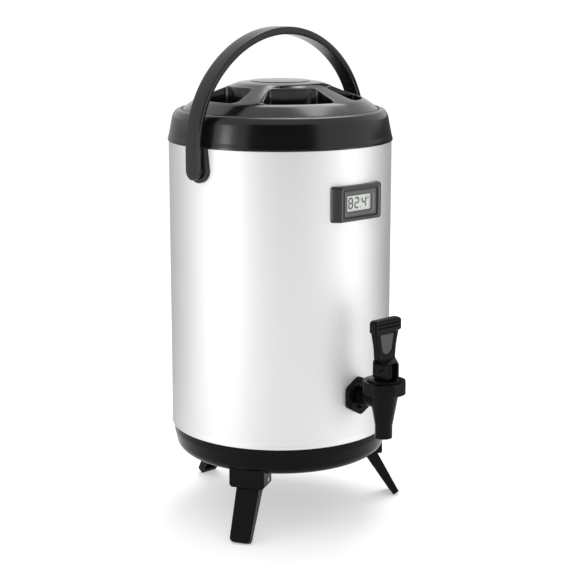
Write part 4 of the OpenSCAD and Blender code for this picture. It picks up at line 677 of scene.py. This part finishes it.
# The sole closes the foot: the lowest ring is drawn in to the middle line of its two prongs and the web behind them.
prong, web, tip = (half_w[0, 0] + slot_half) / 2, (slot_end[0, 0] + back[0, 0]) / 2, nose[0, 0]
to_web = tip + down[0] * (web - tip)
sole_x = np.concatenate([
    -prong + 0 * arc, -prong + 0 * over[0], -prong + 0 * down[0], prong * (2 * run[0] - 1), prong + 0 * down[0],
    prong + 0 * over[0], prong + 0 * arc, prong + 0 * down[0], prong + 0 * arc, prong * (1 - 2 * run[0, 1:-1]),
    -prong + 0 * arc, -prong + 0 * down[0], [-prong],
])
sole_y = np.concatenate([
    tip + 0 * arc, tip + 0 * over[0], to_web, web + 0 * run[0], to_web[::-1], tip + 0 * over[0], tip + 0 * arc,
    to_web, web + 0 * arc, web + 0 * run[0, 1:-1], web + 0 * arc, to_web[::-1], [tip],
])
sole = np.stack([sole_x, sole_y, level[0, 0] + 0 * sole_x], -1)
lever = surface_mesh("lever_paddle", np.concatenate([sole[None], lever_rows]) + (0, tap_y, lever_z))
fit(lever, deep_black, "satin_black", "lever", "tap_lever")

# The shield is a thin plate in the sunk panel: each row spans the panel's width there, less its sloping wall.
plate_front, plate_back = -3.5, -2.9
plate_z = np.linspace(12.9, 34.8, 45)[[0, *range(45), 44], None]
plate_half = np.interp(plate_z, panel_levels, panel_halves)
plate_round = np.maximum((panel_round_z - plate_z) / panel_round, 0)
plate_half = plate_half * np.sqrt(np.maximum((1 - 0.8 / plate_half) ** 2 - plate_round ** 2, 0))
plate_x = plate_half * np.concatenate([np.linspace(-1, 1, 21), np.linspace(1, -1, 21), [-1]])
plate_y = np.repeat([plate_front, plate_back, plate_front], [21, 21, 1]) + 0 * plate_x
plate_y[[0, -1]] = plate_back
shield = surface_mesh("lever_shield", np.stack([plate_x, plate_y + tap_y, plate_z + lever_z + 0 * plate_x], -1))
shield_grey = finish("shield_grey", (0.045, 0.045, 0.046), 0.32, specular=0.3, grain=2600, lift=0.1, spread=0.1)
fit(shield, shield_grey, "satin_black", "lever")

# Studio: a plain white floor that keeps a soft shadow, a white room, a lamp above, two fill lamps without shadows
# that the steel mirrors as pale bands, and grey flags that darken its edges and the front of the collar.
# The camera stands as in the photograph.

scene.view_settings.view_transform = "Standard"
eye = Vector((-1.0700, -1.2052, 0.6116))
heading, pitch = np.radians(-41.91), np.radians(10.61)
ahead = Vector((-np.sin(heading) * np.cos(pitch), np.cos(heading) * np.cos(pitch), -np.sin(pitch)))
lens = bpy.data.cameras.new("photo_view")
lens.lens, lens.sensor_width, lens.shift_y, lens.clip_end = 89.93, 36, -0.08, 50
camera = bpy.data.objects.new("photo_view", lens)
camera.location = eye
camera.rotation_euler = ahead.to_track_quat("-Z", "Y").to_euler()
scene.collection.objects.link(camera)
scene.camera = camera
camera_side = np.arctan2(eye.x, -eye.y)


def studio_place(angle, distance, height):
    """A point at an angle in degrees from the camera's side of the drum, positive to the picture's right."""
    turn = np.radians(angle) + camera_side
    return Vector((distance * np.sin(turn), -distance * np.cos(turn), height))


def area_lamp(name, place, aim, size, size_y, power, shadow=False):
    """A rectangular lamp at place that faces aim. A fill lamp casts no shadow."""
    data = bpy.data.lights.new(name, "AREA")
    data.shape = "RECTANGLE"
    data.size, data.size_y, data.energy, data.use_shadow = size, size_y, power, shadow
    lamp = bpy.data.objects.new(name, data)
    lamp.location = place
    lamp.rotation_euler = (Vector(aim) - place).to_track_quat("-Z", "Y").to_euler()
    scene.collection.objects.link(lamp)


area_lamp("left_softbox", studio_place(-54, 0.9, 0.34), (0, 0, 0.34), 0.15, 0.66, 2.1)
area_lamp("right_softbox", studio_place(72, 1.5, 0.22), (0, 0, 0.3), 0.2, 0.4, 3.4)
area_lamp("top_key", studio_place(165, 0.9, 1.9), (0, 0, 0.4), 1.0, 1.0, 14, shadow=True)

paper, add, link = blank_material("studio_paper")
matt = add("ShaderNodeBsdfDiffuse")
matt.inputs["Color"].default_value = (0.82, 0.82, 0.82, 1)
glow = add("ShaderNodeEmission")
path = add("ShaderNodeLightPath")
mirrored = add("ShaderNodeMath")
mirrored.operation = "MULTIPLY"
mirrored.inputs[1].default_value = 0.3
paper_level = add("ShaderNodeMath")
paper_level.operation = "MULTIPLY_ADD"
paper_level.inputs[1].default_value = 0.34
both = add("ShaderNodeAddShader")
link(path.outputs["Is Glossy Ray"], mirrored.inputs[0])
link(path.outputs["Is Camera Ray"], paper_level.inputs[0])
link(mirrored.outputs[0], paper_level.inputs[2])
link(paper_level.outputs[0], glow.inputs["Strength"])
link(matt.outputs[0], both.inputs[0])
link(glow.outputs[0], both.inputs[1])
link(both.outputs[0], add("ShaderNodeOutputMaterial").inputs["Surface"])
floor_half = 30000.0
floor = surface_mesh("studio_floor", np.array([[[-1, -1, 0], [-1, 1, 0]], [[1, -1, 0], [1, 1, 0]]]) * floor_half)
floor.data.materials.append(paper)

for name, start, end, reach, low, high, grey in (
    ("left_flag", -168, -92, 450, 5, 480, 0.56), ("right_flag", 94, 168, 450, 5, 480, 0.12),
    ("front_flag", -32, 36, 900, 540, 1100, 0.05),
):
    turn = np.radians(np.linspace(start, end, 18)) + camera_side
    flag = surface_mesh(name, turned(np.array([(reach, low), (reach, high)], float), turn))
    card, add, link = blank_material(name)
    tone = add("ShaderNodeEmission")
    tone.inputs["Strength"].default_value = grey
    link(tone.outputs[0], add("ShaderNodeOutputMaterial").inputs["Surface"])
    flag.data.materials.append(card)
    flag.visible_camera = flag.visible_shadow = flag.visible_diffuse = False

world = bpy.data.worlds.new("studio_room")
world.use_nodes = True
scene.world = world
world.node_tree.nodes.clear()
add, link = world.node_tree.nodes.new, world.node_tree.links.new
room = add("ShaderNodeBackground")
room.inputs["Color"].default_value = (1, 1, 1, 1)
path = add("ShaderNodeLightPath")
seen = add("ShaderNodeMath")
seen.operation = "MAXIMUM"
seen_or_clear = add("ShaderNodeMath")
seen_or_clear.operation = "MAXIMUM"
room_level = add("ShaderNodeMapRange")
room_level.inputs["To Min"].default_value = 0.85
room_level.inputs["To Max"].default_value = 1.0
link(path.outputs["Is Camera Ray"], seen.inputs[0])
link(path.outputs["Is Glossy Ray"], seen.inputs[1])
link(seen.outputs[0], seen_or_clear.inputs[0])
link(path.outputs["Is Transmission Ray"], seen_or_clear.inputs[1])
link(seen_or_clear.outputs[0], room_level.inputs["Value"])
link(room_level.outputs[0], room.inputs["Strength"])
link(room.outputs[0], add("ShaderNodeOutputWorld").inputs["Surface"])
